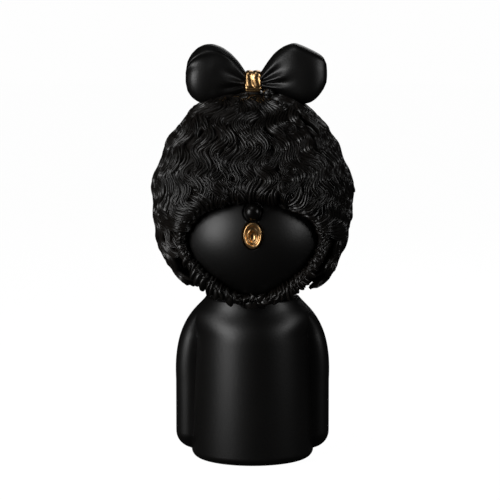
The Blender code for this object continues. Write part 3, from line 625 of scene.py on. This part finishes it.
# From the face's edge over the ball to the back: each ring's direction, dropped on the ground.
for reach in np.concatenate([np.linspace(0.02, 0.3, 10), np.linspace(0.34, 1, 34)]):
    bend = reach * math.pi / 2
    direction = start * math.cos(bend)
    direction += np.array([0, 60.0, 0]) * math.sin(bend) ** 2
    direction += start * [1, 0, 1] * math.sin(2 * bend) * 0.9
    if reach == 1:  # the last ring keeps a little width, so that it doesn't shrink to a point
        direction = direction + start * [1, 0, 1] * 0.02
    rings.append(drop_to([0, 0, BALL_Z] + unit(direction) * INSIDE_R, -0.4, 8))
ground_points = np.array(rings)
ground_points[..., 2] = np.maximum(ground_points[..., 2], DECK + 0.6)
skin("hair_ground", ground_points, [hair_black], "head", ["hair_shell"])
print("hair ground:", ground_points.shape)

# %% [markdown]
# ## Hair: locks
#
# Each lock is the same blank: a flattened tube with three or four strands ridged along its
# top. It starts tucked under its neighbours, swings from side to side as it follows the fall
# of the hair, and ends in a taper. The swing depends on how far down the head a point lies,
# so neighbours swing together and the hair reads as long waves. A few locks roll up into
# spiral curls. The fall runs from the crown down and turns in towards the face beside it.

# %% The fall of the hair
CROWN = np.array([0.0, 3.0, 210.0])


def fall(p, normal):
    """The direction that hair lies in at points on the ground."""
    away = p - CROWN
    away[..., 2] = np.minimum(away[..., 2], -0.3 * np.hypot(away[..., 0], away[..., 1]))
    down = unit(away + [0, 0, -18.0])
    px, pz, _ = egg_place(p[..., 0], p[..., 2])
    size = np.maximum(np.hypot(px, pz), 1e-6)
    inwards = np.stack([-px / size, np.zeros_like(px), -np.abs(pz) / size], axis=-1)
    near = 1 - smoothstep(5, 26, opening_distance(p[..., 0], p[..., 2]))
    near = near * smoothstep(8, 26, -p[..., 1])
    wanted = down * (1 - near[..., None]) + inwards * near[..., None]
    wanted = wanted - normal * (wanted * normal).sum(-1, keepdims=True)
    return unit(wanted)


def turned_about(v, axis, angle):
    """Vectors turned about unit axes that are square to them."""
    c, s = np.cos(angle)[..., None], np.sin(angle)[..., None]
    return v * c + np.cross(axis, v) * s


def soft_noise(p, scale, seed):
    """A smooth value from -1 to 1 that drifts over the head."""
    local = np.random.default_rng(seed)
    waves = unit(local.normal(size=(6, 3))) / scale
    phases = local.uniform(0, 2 * math.pi, 6)
    return np.sin(p @ waves.T * 2 * math.pi + phases).sum(-1) / 3.2


print("the hair falls from", CROWN)

# %% Growing locks
ROWS, AROUND = 40, 32
WAVE = 15.6  # mm of fall for one S of the hair
FALL_R, FALL_MIDDLE = 54, [0, 0, BALL_Z - 8]  # the ball over which the fall is measured
LEAN, LEAN_SCALE = 0.18, 60.0  # how far locks lean sideways, and over what distance it drifts
UNDER_R, UNDER_Z, STOP_Z = 34.5, 101.5, 100.5  # locks stop near the neck, and at this height
CHIN_TOP, CHIN_FRONT, CHIN_ROOM = FACE_Z - 14, -18, 6.0  # and this far from the face's chin


def depth_of_fall(p):
    """How far down the head a point lies, measured over the ball from the crown."""
    way = unit(p - FALL_MIDDLE)
    return FALL_R * np.arccos(np.clip(way @ unit(CROWN - FALL_MIDDLE), -1, 1))


def face_edge_y(p):
    """Where the face's edge lies from front to back, beside a point."""
    px, pz, _ = egg_place(p[..., 0], p[..., 2])
    k = np.maximum(np.hypot(px, pz), 1e-6) / drawn_in(px, pz)
    return dome_y(p[..., 0] / k, FACE_Z + (p[..., 2] - FACE_Z) / k)


def grow(starts, length, swing, phase, curl_from, curl_turn):
    """Paths over the ground: (locks, rows, 3) points, normals, and the share each one lives."""
    step = length / (ROWS - 1)
    p = drop_to(starts.copy())
    points, normals, alive = [], [], np.ones(len(p), bool)
    count = np.zeros(len(p))
    curl = np.zeros(len(p))
    for k in range(ROWS):
        normal = unit(slope_of(p))
        points.append(p.copy())
        normals.append(normal)
        bend = swing * np.sin(2 * math.pi * depth_of_fall(p) / WAVE + phase)
        share = k / (ROWS - 1)
        curl = curl + np.where(share > curl_from, curl_turn * (1 + 2.2 * (share - curl_from)), 0)
        lean = LEAN * soft_noise(p, LEAN_SCALE, 17)
        heading = turned_about(fall(p, normal), normal, (bend + lean) * (share <= curl_from) + curl)
        ahead = drop_to(p + heading * step[:, None], 0.0, 2)
        inside = (ahead[:, 1] > face_edge_y(ahead) + 1.0) & (ahead[:, 1] < 0)
        inside &= opening_distance(ahead[:, 0], ahead[:, 2]) < RIM_ROOM + 1.5
        under = (np.hypot(ahead[:, 0], ahead[:, 1]) < UNDER_R) & (ahead[:, 2] < UNDER_Z)
        under |= ahead[:, 2] < STOP_Z
        chin = (ahead[:, 2] < CHIN_TOP) & (ahead[:, 1] < CHIN_FRONT)
        under |= chin & (opening_distance(ahead[:, 0], ahead[:, 2]) < CHIN_ROOM)
        alive &= ~(inside | under)
        p = np.where(alive[:, None], ahead, p)
        count += alive
    return np.stack(points, 1), np.stack(normals, 1), np.minimum(count / (ROWS - 1), 1)


def resampled(paths, shares):
    """Stretches each path's living part over all of its rows."""
    base = np.arange(ROWS)
    out = np.empty_like(paths)
    for i, share in enumerate(shares):
        wanted = np.linspace(0, max(share, 0.05) * (ROWS - 1), ROWS)
        for k in range(3):
            out[i, :, k] = np.interp(wanted, base, paths[i, :, k])
    return out


# %% A lock's section
TOP = 27  # of a ring's corners, how many go to the ridged top


def lock_points(paths, normals, width, thick, lift, strands, seeds):
    """Sweeps the ridged section along the paths: (locks, rows, around, 3) points."""
    tangent = unit(np.gradient(paths, axis=1))
    normals = unit(normals - tangent * (normals * tangent).sum(-1, keepdims=True))
    side = np.cross(tangent, normals)
    t = np.linspace(0, 1, ROWS)
    full = smoothstep(0, 0.14, t) * 0.6 + 0.4
    taper = 1 - 0.86 * smoothstep(0.70, 1.0, t) ** 1.3
    wide = width[:, None] * (full * taper)[None]
    swell = (smoothstep(0, 0.12, t) * 0.5 + 0.5) * (1 - 0.7 * smoothstep(0.8, 1, t))
    deep = (thick[:, None] * swell[None])[..., None]
    across = np.concatenate([np.linspace(-1, 1, TOP), np.linspace(0.8, -0.8, AROUND - TOP)])
    is_top = np.concatenate([np.ones(TOP), np.zeros(AROUND - TOP)])
    drift = 0.22 * np.sin(2 * math.pi * (t[None] * 1.2 + seeds[:, :1]))
    bowed = np.clip(across + drift[..., None] * (1 - across**2), -1, 1)
    dome = np.sqrt(np.maximum(0, 1 - bowed * bowed))
    strand = strands[:, None, None] * (bowed + 1) / 2
    ridge = np.abs(np.sin(math.pi * strand)) ** 0.8
    uneven = 0.82 + 0.18 * np.sin(2.4 * np.floor(strand) + 6.3 * seeds[:, 1, None, None])
    height = deep * (0.36 * dome + 0.64 * dome**0.35 * ridge * uneven) * is_top - 0.9 * (1 - is_top)
    x = 0.5 * wide[..., None] * across
    lifted = lift[..., None] + height
    return paths[:, :, None] + side[:, :, None] * x[..., None] + normals[:, :, None] * lifted[..., None]


def rolled(points, normals, tilt):
    """Normals tipped sideways, so that a lock rolls as it swings."""
    tangent = unit(np.gradient(points, axis=1))
    return unit(normals + np.cross(tangent, normals) * tilt[..., None])


print("a lock has", ROWS, "rows of", AROUND, "corners")

# %% Where locks start
LOCKS, CROWN_LOCKS, CROWN_REACH = 640, 60, 27.0
LOWEST_START = 98


def spiral_starts(count, jitter):
    """Evenly scattered points on the ground, outside the face and above the neck."""
    k = np.arange(count) + 0.5
    z = 1 - 2 * k / count
    turn = k * math.pi * (3 - math.sqrt(5))
    r = np.sqrt(1 - z * z)
    way = np.column_stack([r * np.cos(turn), r * np.sin(turn), z])
    way = unit(way + rng.normal(scale=jitter, size=way.shape))
    p = drop_to([0, 0, BALL_Z] + way * INSIDE_R, 0.0, 8)
    keep = (opening_distance(p[:, 0], p[:, 2]) > 2.0) | (p[:, 1] > -20)
    keep &= p[:, 2] > LOWEST_START
    return p[keep]


def crown_starts(count, reach):
    """A sunflower of extra starts round the crown, where falling locks leave a gap."""
    k = np.arange(count) + 0.5
    r, turn = reach * np.sqrt(k / count), k * math.pi * (3 - math.sqrt(5))
    p = np.column_stack([r * np.cos(turn), CROWN[1] + r * np.sin(turn), np.full(count, 205.0)])
    return drop_to(p, 0.0, 8)


starts = np.vstack([spiral_starts(LOCKS, 0.03), crown_starts(CROWN_LOCKS, CROWN_REACH)])
starts = starts[np.argsort(starts[:, 2])]
n = len(starts)
print("starts:", n)

# %% Waves and curls
phase = 1.7 * soft_noise(starts, 58.0, 3) + rng.normal(scale=0.22, size=n)
length = rng.uniform(42, 60, n) * (1 - 0.3 * smoothstep(198, 208, starts[:, 2]))
swing = rng.uniform(0.56, 0.82, n)
near_crown = np.linalg.norm(starts - CROWN, axis=1) < 12
curly = (rng.uniform(size=n) < np.where(near_crown, 0.4, 0.09)) & (starts[:, 2] > 130)
curl_from = np.where(curly, rng.uniform(0.3, 0.5, n) * np.where(near_crown, 0.2, 1.0), 2.0)
curl_turn = np.where(curly, rng.choice([-1, 1], n) * rng.uniform(0.26, 0.34, n), 0.0)
SHORTEST = 0.24  # locks that were stopped before this share of their length are left out
paths, normals, shares = grow(starts, length, swing, phase, curl_from, curl_turn)
keep = shares > SHORTEST
paths, normals, shares = paths[keep], normals[keep], shares[keep]
phase, curly = phase[keep], curly[keep]
paths, normals = resampled(paths, shares), resampled(normals, shares)
n = len(paths)
print("locks grown:", n, "of which", int(curly.sum()), "curl up")

# %% How locks lie
LOWEST = 90.9  # no lock hangs lower than this
SLACK_LOW, SLACK_HIGH = 98.0, 107.0  # heights between which locks go from flat to full
t = np.linspace(0, 1, ROWS)[None]
wave_angle = 2 * math.pi * depth_of_fall(paths) / WAVE + phase[:, None]
normals = rolled(paths, unit(normals), 0.2 * np.cos(wave_angle))
lump = soft_noise(paths.reshape(-1, 3), 22.0, 11).reshape(n, ROWS)
lift = -1.2 + 2.2 * smoothstep(0, 0.75, t) + 0.35 * np.sin(wave_angle + 0.8) + 1.0 * lump
lift = lift - 2.0 * smoothstep(0.85, 1.0, t) + rng.uniform(-0.35, 0.35, n)[:, None]
lift = lift - 0.9 * smoothstep(204, 209, paths[..., 2])
width = rng.uniform(5.2, 7.0, n) * np.where(curly, 0.75, 1.0)
thick = rng.uniform(2.5, 3.3, n)
strands = rng.choice([3.0, 4.0, 4.0], n)
points = lock_points(paths, normals, width, thick, lift, strands, rng.uniform(size=(n, 2)))
# Near the neck the ground turns under, and locks lie flatter so that they don't hang off it.
slack = 1 - smoothstep(SLACK_LOW, SLACK_HIGH, paths[..., 2])
offset = ((points - paths[:, :, None]) * normals[:, :, None]).sum(-1, keepdims=True)
points = points - normals[:, :, None] * np.maximum(offset, 0) * slack[:, :, None, None]
points[..., 2] = np.maximum(points[..., 2], LOWEST)
print("lock points:", points.shape)

# %% Locks into pieces
blank = rolled_blank("lock_blank", ROWS, AROUND)
blank_row, blank_column = corner_numbers(blank)


def locks_piece(name, cloud):
    """All of a group's locks in one mesh, each one a shaped copy of the blank."""
    bm = bmesh.new()
    for _ in range(len(cloud)):
        bm.from_mesh(blank)
    mesh = bpy.data.meshes.new(name)
    bm.to_mesh(mesh)
    bm.free()
    shaped = cloud[:, blank_row, blank_column] * MM
    mesh.vertices.foreach_set("co", shaped.ravel())
    mesh.update()
    face_outwards(mesh)
    return add_piece(mesh, [hair_black], "head", ["hair_shell"])


GROUPS = ("back_left", "left", "front_left", "front_right", "right", "back_right")
PER_PIECE = 72  # the most locks in one piece
turn = np.arctan2(paths[:, 0, 0], -paths[:, 0, 1])
group = ((turn + math.pi) / (2 * math.pi) * len(GROUPS)).astype(int) % len(GROUPS)
for g, name in enumerate(GROUPS):
    chosen = np.flatnonzero(group == g)
    for part, indices in enumerate(np.array_split(chosen, max(1, math.ceil(len(chosen) / PER_PIECE)))):
        locks_piece(f"curls_{name}_{part + 1}", points[indices])
        print("curls", name, part + 1, len(indices))

# %% [markdown]
# ## Hair: the rim round the face
#
# Beside the mouth and under the chin, short fat locks curl over the opening's edge like the
# turns of a rope. They hide the joint between the hair and the face.

# %% Rim locks
# A rim lock's way in mm, from inside the face's edge outwards, beside the face and at the chin.
SIDE_OUT, SIDE_FORWARD = (0.4, 1.2, 2.4, 4.5, 7.5, 11, 15, 19), (-2, 2.5, 6, 8, 8, 7.5, 6, 4)
CHIN_OUT, CHIN_FORWARD = (0.2, 0.8, 1.8, 3.4, 4.9, 5.2, 5.2, 5.2), (-2, 2, 5, 6.4, 5, 2.5, -0.5, -3.5)


def rim_locks(name, low, high, count, width_range, thick_range, slant, strands):
    """Locks over the opening's edge, between two angles from its lowest point, in degrees."""
    turn = np.radians(-90 + np.linspace(low, high, count) + rng.normal(scale=0.6, size=count))
    beside = smoothstep(18, 76, np.abs(np.degrees(turn) + 90))
    t = np.linspace(0, 1, ROWS)
    reach = rng.uniform(0.72, 1.0, count)[:, None] * t[None]
    steps = np.linspace(0, 1, len(SIDE_OUT))
    ways = []
    for at_side, at_chin in ((SIDE_OUT, CHIN_OUT), (SIDE_FORWARD, CHIN_FORWARD)):
        side, chin = np.interp(reach, steps, at_side), np.interp(reach, steps, at_chin)
        ways.append(side * beside[:, None] + chin * (1 - beside[:, None]))
    out, forward = ways
    sway = 0.045 * np.sin(2 * math.pi * (t[None] * 1.2 + 0.1 * rng.uniform(size=(count, 1))))
    angle = turn[:, None] + slant * np.sign(np.cos(turn))[:, None] * t[None] + sway * beside[:, None]
    tall = np.where(np.sin(angle) > 0, FACE_UP, FACE_DOWN)
    egg = drawn_in(np.cos(angle), np.sin(angle))
    x, z = (FACE_W * egg + out) * np.cos(angle), FACE_Z + (tall * egg + out) * np.sin(angle)
    edge = dome_y(FACE_W * egg * np.cos(angle), FACE_Z + tall * egg * np.sin(angle))
    paths = drop_to(np.stack([x, edge - forward, z], axis=-1), 0.0, 6)
    for _ in range(4):
        paths[:, 1:-1] = (paths[:, :-2] + 2 * paths[:, 1:-1] + paths[:, 2:]) / 4
    normals = unit(slope_of(paths))
    for _ in range(6):
        normals[:, 1:-1] = unit(normals[:, :-2] + 2 * normals[:, 1:-1] + normals[:, 2:])
    lift = -0.4 + 1.3 * np.sin(math.pi * t[None]) ** 0.6 + rng.uniform(-0.3, 0.3, (count, 1))
    cloud = lock_points(
        paths,
        normals,
        rng.uniform(*width_range, count),
        rng.uniform(*thick_range, count),
        lift,
        rng.choice(strands, count),
        rng.uniform(size=(count, 2)),
    )
    cloud[..., 2] = np.maximum(cloud[..., 2], LOWEST)
    locks_piece(name, cloud)
    print(name, count, "locks")


rim_locks("rim_chin", -76, 76, 25, (4.8, 5.6), (3.3, 3.9), -0.16, [1.0, 1.0, 2.0])
rim_locks("rim_right", 78, 150, 14, (4.8, 6.0), (2.6, 3.3), -0.06, [2.0, 3.0])
rim_locks("rim_left", -150, -78, 14, (4.8, 6.0), (2.6, 3.3), -0.06, [2.0, 3.0])

# %% [markdown]
# ## Bow
#
# The bow is two hollow loops that meet in a gold sleeve. A loop is drawn by its outline seen
# from the front, one station after another from the sleeve to the tip, and is puffed out from
# front to back. Pleats gather the skin where the sleeve squeezes it.

# %% Bow loops
# Station: distance from the middle, top height, bottom height, half depth.
LEFT_LOOP = (
    (2.6, 221.6, 213.9, 3.3),
    (4.2, 223.6, 212.6, 4.0),
    (8.0, 229.3, 211.0, 5.6),
    (12.6, 234.2, 209.4, 7.4),
    (17.1, 237.4, 207.8, 8.8),
    (22.3, 239.4, 206.2, 9.7),
    (27.0, 239.2, 205.2, 10.0),
    (31.2, 237.4, 206.4, 9.9),
    (34.8, 234.0, 209.0, 8.8),
    (37.2, 229.6, 212.6, 6.4),
    (38.2, 223.2, 217.5, 2.6),
)
RIGHT_LOOP = (
    (2.6, 221.6, 213.9, 3.3),
    (4.6, 223.6, 212.6, 4.0),
    (8.0, 229.0, 211.4, 5.4),
    (12.0, 234.2, 210.2, 7.2),
    (17.1, 238.0, 208.8, 8.8),
    (23.4, 240.2, 207.0, 9.9),
    (28.6, 238.2, 205.2, 10.1),
    (33.0, 236.1, 206.2, 9.9),
    (36.8, 234.2, 209.2, 9.0),
    (39.9, 232.2, 213.6, 7.0),
    (41.6, 228.2, 217.6, 4.6),
    (41.9, 224.2, 220.6, 2.0),
)


def smooth_stations(stations, count):
    """Stations interpolated evenly along the loop and softened."""
    table = np.array(stations)
    along = np.concatenate([[0], np.cumsum(np.hypot(np.diff(table[:, 0]), 0.5 * np.diff(table[:, 1])))])
    fine = np.linspace(0, along[-1], count)
    out = np.column_stack([np.interp(fine, along, table[:, k]) for k in range(4)])
    for passes, columns in ((30, slice(1, 4)), (60, slice(3, 4))):
        for _ in range(passes):
            out[1:-1, columns] = (out[:-2, columns] + 2 * out[1:-1, columns] + out[2:, columns]) / 4
    return out


BOW_DROP = 2.05  # the bow rests this much lower, on the locks
FOLD_Z = 216.5  # height of the point that the folds fan out from


def squarish(value, power):
    """A cosine or sine bent so that the ring it draws is a superellipse."""
    return np.sign(value) * np.abs(value) ** (2 / power)


def folded(x, height, folds):
    """Ridges and valleys that fan out from the sleeve, summed over a list of folds."""
    turn = np.degrees(np.arctan2(height - FOLD_Z, np.maximum(x - 1.0, 0.5)))
    far = np.hypot(x - 4.0, height - FOLD_Z)
    total = np.zeros_like(far)
    for slope, size, spread, length in folds:
        fade = smoothstep(0.5, 4.0, far) * (1 - smoothstep(0.35 * length, length, far))
        total += size * np.exp(-(((turn - slope) / spread) ** 2)) * fade
    return total


def bow_loop(name, side, stations, squareness, lip, folds, replaced):
    """One puffed loop, with its folds, to a side of the sleeve: -1 is left and 1 is right."""
    table = smooth_stations(stations, 110)
    a = np.linspace(0, 2 * math.pi, 150, endpoint=False)
    c, s = np.cos(a), np.sin(a)
    rings = []
    reach = table[-1, 0]
    for x, top, bottom, deep in table:
        share = x / reach
        power = 2.0 + (squareness - 2.0) * smoothstep(0.1, 0.6, share)
        cy, sz = squarish(c, power), squarish(s, power)
        front = smoothstep(-0.1, 0.5, c)
        # The lip is a rolled edge that runs below the loop's upper outline.
        edge = lip * np.exp(-(((s - 0.72) / 0.12) ** 2)) * front * smoothstep(0.22, 0.5, share)
        dish = -1.1 * lip * np.exp(-(((s - 0.38) / 0.26) ** 2)) * front * smoothstep(0.3, 0.7, share)
        half = (top - bottom) / 2
        height = (top + bottom) / 2 + sz * half
        fold = folded(np.full(len(a), x), height, folds) * smoothstep(-0.2, 0.4, np.abs(c))
        swell = 1 + (edge + dish + fold) / max(deep, 1.5)
        across = np.full(len(a), side * x + 0.3)
        rings.append(np.column_stack([across, -cy * deep * swell, height - BOW_DROP]))
    return skin(name, np.array(rings), [satin_black], "head", replaced)


# Fold: slope in degrees, height, spread in degrees, length.
LEFT_FOLDS = (
    (52, 0.9, 9, 26),
    (27, -1.0, 9, 22),
    (8, 0.9, 8, 20),
    (-8, -1.2, 7, 19),
    (-22, 0.8, 8, 16),
)
RIGHT_FOLDS = (
    (66, -0.9, 8, 20),
    (50, 1.3, 8, 24),
    (33, -1.3, 8, 22),
    (18, 1.3, 7, 23),
    (5, -1.3, 6, 21),
    (-8, 1.0, 6, 19),
    (-22, -0.9, 7, 16),
)
bow_loop("bow_left", -1, LEFT_LOOP, 2.5, 1.5, LEFT_FOLDS, ["bow_loop_left"])
bow_loop("bow_right", 1, RIGHT_LOOP, 2.9, 0.2, RIGHT_FOLDS, ["bow_loop_right"])
print("bow loops made")

# %% Gold sleeve
KNOT_TOP, KNOT_BOTTOM = 224.4 - BOW_DROP, 211.6 - BOW_DROP
KNOT_HALF, KNOT_DEEP = 4.3, 5.8
across = np.linspace(-1, 1, 60)
a = np.linspace(0, 2 * math.pi, 160, endpoint=False)
rings = []
for u in across:
    c, s = np.cos(a), np.sin(a)
    cy, sz = squarish(c, 3.2), squarish(s, 4.2)
    soft = 1 - 0.10 * smoothstep(0.86, 1.0, abs(u))
    band = smoothstep(-0.56, -0.40, sz)
    wander = 0.16 * np.sin(2.6 * sz + 0.4)
    pleat = np.abs(np.sin(math.pi * (u + wander))) ** 0.8
    hem = 0.45 * np.exp(-(((sz + 0.86) / 0.08) ** 2)) - 0.3 * np.exp(-(((sz + 0.5) / 0.09) ** 2))
    bulge = (0.85 * pleat + 0.1 * np.sin(7 * sz + 3 * u)) * band + 0.5 * (1 - band) + hem
    deep = KNOT_DEEP - 1.3 + bulge
    half = (KNOT_TOP - KNOT_BOTTOM) / 2 - 0.35 + 0.35 * pleat * band
    rings.append(
        np.column_stack(
            [
                np.full(len(a), u * KNOT_HALF + 0.4),
                -cy * deep * soft,
                (KNOT_TOP + KNOT_BOTTOM) / 2 + sz * half * soft,
            ]
        )
    )
skin("bow_sleeve", np.array(rings), [gold], "head", ["bow_knot"])
print("gold sleeve made")

# %% Post under the sleeve
POST_R = 2.2
post = []
for z in np.linspace(199, 214, 31):
    saddle = float(smoothstep(202, 205.5, z) * (1 - smoothstep(209, 212, z)))
    x, y = (POST_R + 3.0 * saddle) * np.cos(a), (POST_R + 1.4 * saddle) * np.sin(a)
    post.append([x, y, np.full(len(a), z)])
skin("bow_post", np.moveaxis(np.array(post), 1, 2), [abs_black], "head", ["bow_stem"])
print("post made")

# %% [markdown]
# ## Camera, light and table
#
# A tall soft light stands to the front left and a weaker one to the front right, so every
# round form carries one broad highlight and a faint second one. The room itself is dim, which
# keeps black edges black, and only the camera sees it white.

# %% Camera
ELEVATION = math.radians(7.5)
TARGET = np.array([-0.00144, 0.0, 0.1197])
DISTANCE, VIEW_WIDTH, SENSOR = 1.6, 0.2855, 36
camera = bpy.data.cameras.new("camera")
camera.sensor_width = SENSOR
camera.lens = SENSOR * DISTANCE / VIEW_WIDTH
camera_obj = bpy.data.objects.new("camera", camera)
bpy.context.scene.collection.objects.link(camera_obj)
camera_obj.location = TARGET + DISTANCE * np.array([0, -math.cos(ELEVATION), math.sin(ELEVATION)])
camera_obj.rotation_euler = (math.pi / 2 - ELEVATION, 0, 0)
bpy.context.scene.camera = camera_obj
print("camera lens:", round(camera.lens, 1), "mm")


# %% Lights
def soft_light(name, azimuth, elevation, distance, width, height, power):
    """An area light that faces the toy's middle."""
    light = bpy.data.lights.new(name, "AREA")
    light.shape = "RECTANGLE"
    light.size, light.size_y = width, height
    light.energy = power
    obj = bpy.data.objects.new(name, light)
    bpy.context.scene.collection.objects.link(obj)
    a, e = math.radians(azimuth), math.radians(elevation)
    way = np.array([math.sin(a) * math.cos(e), -math.cos(a) * math.cos(e), math.sin(e)])
    obj.location = np.array([0, 0, 0.13]) + distance * way
    obj.rotation_euler = (math.pi / 2 - e, 0, a)


soft_light("key", -51, 14, 0.7, 0.36, 0.46, 3.2)
soft_light("fill", 65, 17, 0.7, 0.16, 0.26, 0.85)
soft_light("top", -25, 66, 0.9, 0.4, 0.3, 0.7)
soft_light("back", 165, 30, 0.9, 0.4, 0.4, 1.0)
print("lights:", len(bpy.data.lights))


# %% Room and table
def seen_by_camera(tree, seen, others):
    """Mixes two shaders so that only the camera sees the first."""
    ray = node(tree, "ShaderNodeLightPath")
    choose = node(tree, "ShaderNodeMixShader")
    tree.links.new(ray.outputs["Is Camera Ray"], choose.inputs[0])
    tree.links.new(others.outputs[0], choose.inputs[1])
    tree.links.new(seen.outputs[0], choose.inputs[2])
    return choose.outputs[0]


WHITE = (1, 1, 1, 1)
world = bpy.data.worlds.new("studio")
bpy.context.scene.world = world
world.use_nodes = True
tree = world.node_tree
tree.nodes.clear()
bright = node(tree, "ShaderNodeBackground", {"Color": WHITE, "Strength": 0.99})
dim = node(tree, "ShaderNodeBackground", {"Color": WHITE, "Strength": 0.008})
out = node(tree, "ShaderNodeOutputWorld")
tree.links.new(seen_by_camera(tree, bright, dim), out.inputs["Surface"])
bpy.context.scene.view_settings.view_transform = "Standard"

bm = bmesh.new()
bmesh.ops.create_grid(bm, x_segments=2, y_segments=2, size=3.0)
mesh = bpy.data.meshes.new("floor")
bm.to_mesh(mesh)
bm.free()
pale = bpy.data.materials.new("pale_floor")
pale.use_nodes = True
tree = pale.node_tree
shader = tree.nodes["Principled BSDF"]
shader.inputs["Base Color"].default_value = (0.04, 0.04, 0.04, 1)
shader.inputs["Roughness"].default_value = 0.9
glow = node(tree, "ShaderNodeEmission", {"Color": WHITE, "Strength": 0.985})
both = node(tree, "ShaderNodeAddShader")
tree.links.new(shader.outputs[0], both.inputs[0])
tree.links.new(glow.outputs[0], both.inputs[1])
surface = tree.nodes["Material Output"].inputs["Surface"]
tree.links.new(seen_by_camera(tree, both, shader), surface)
mesh.materials.append(pale)
floor = bpy.data.objects.new("floor", mesh)
bpy.context.scene.collection.objects.link(floor)
print("room and table ready")
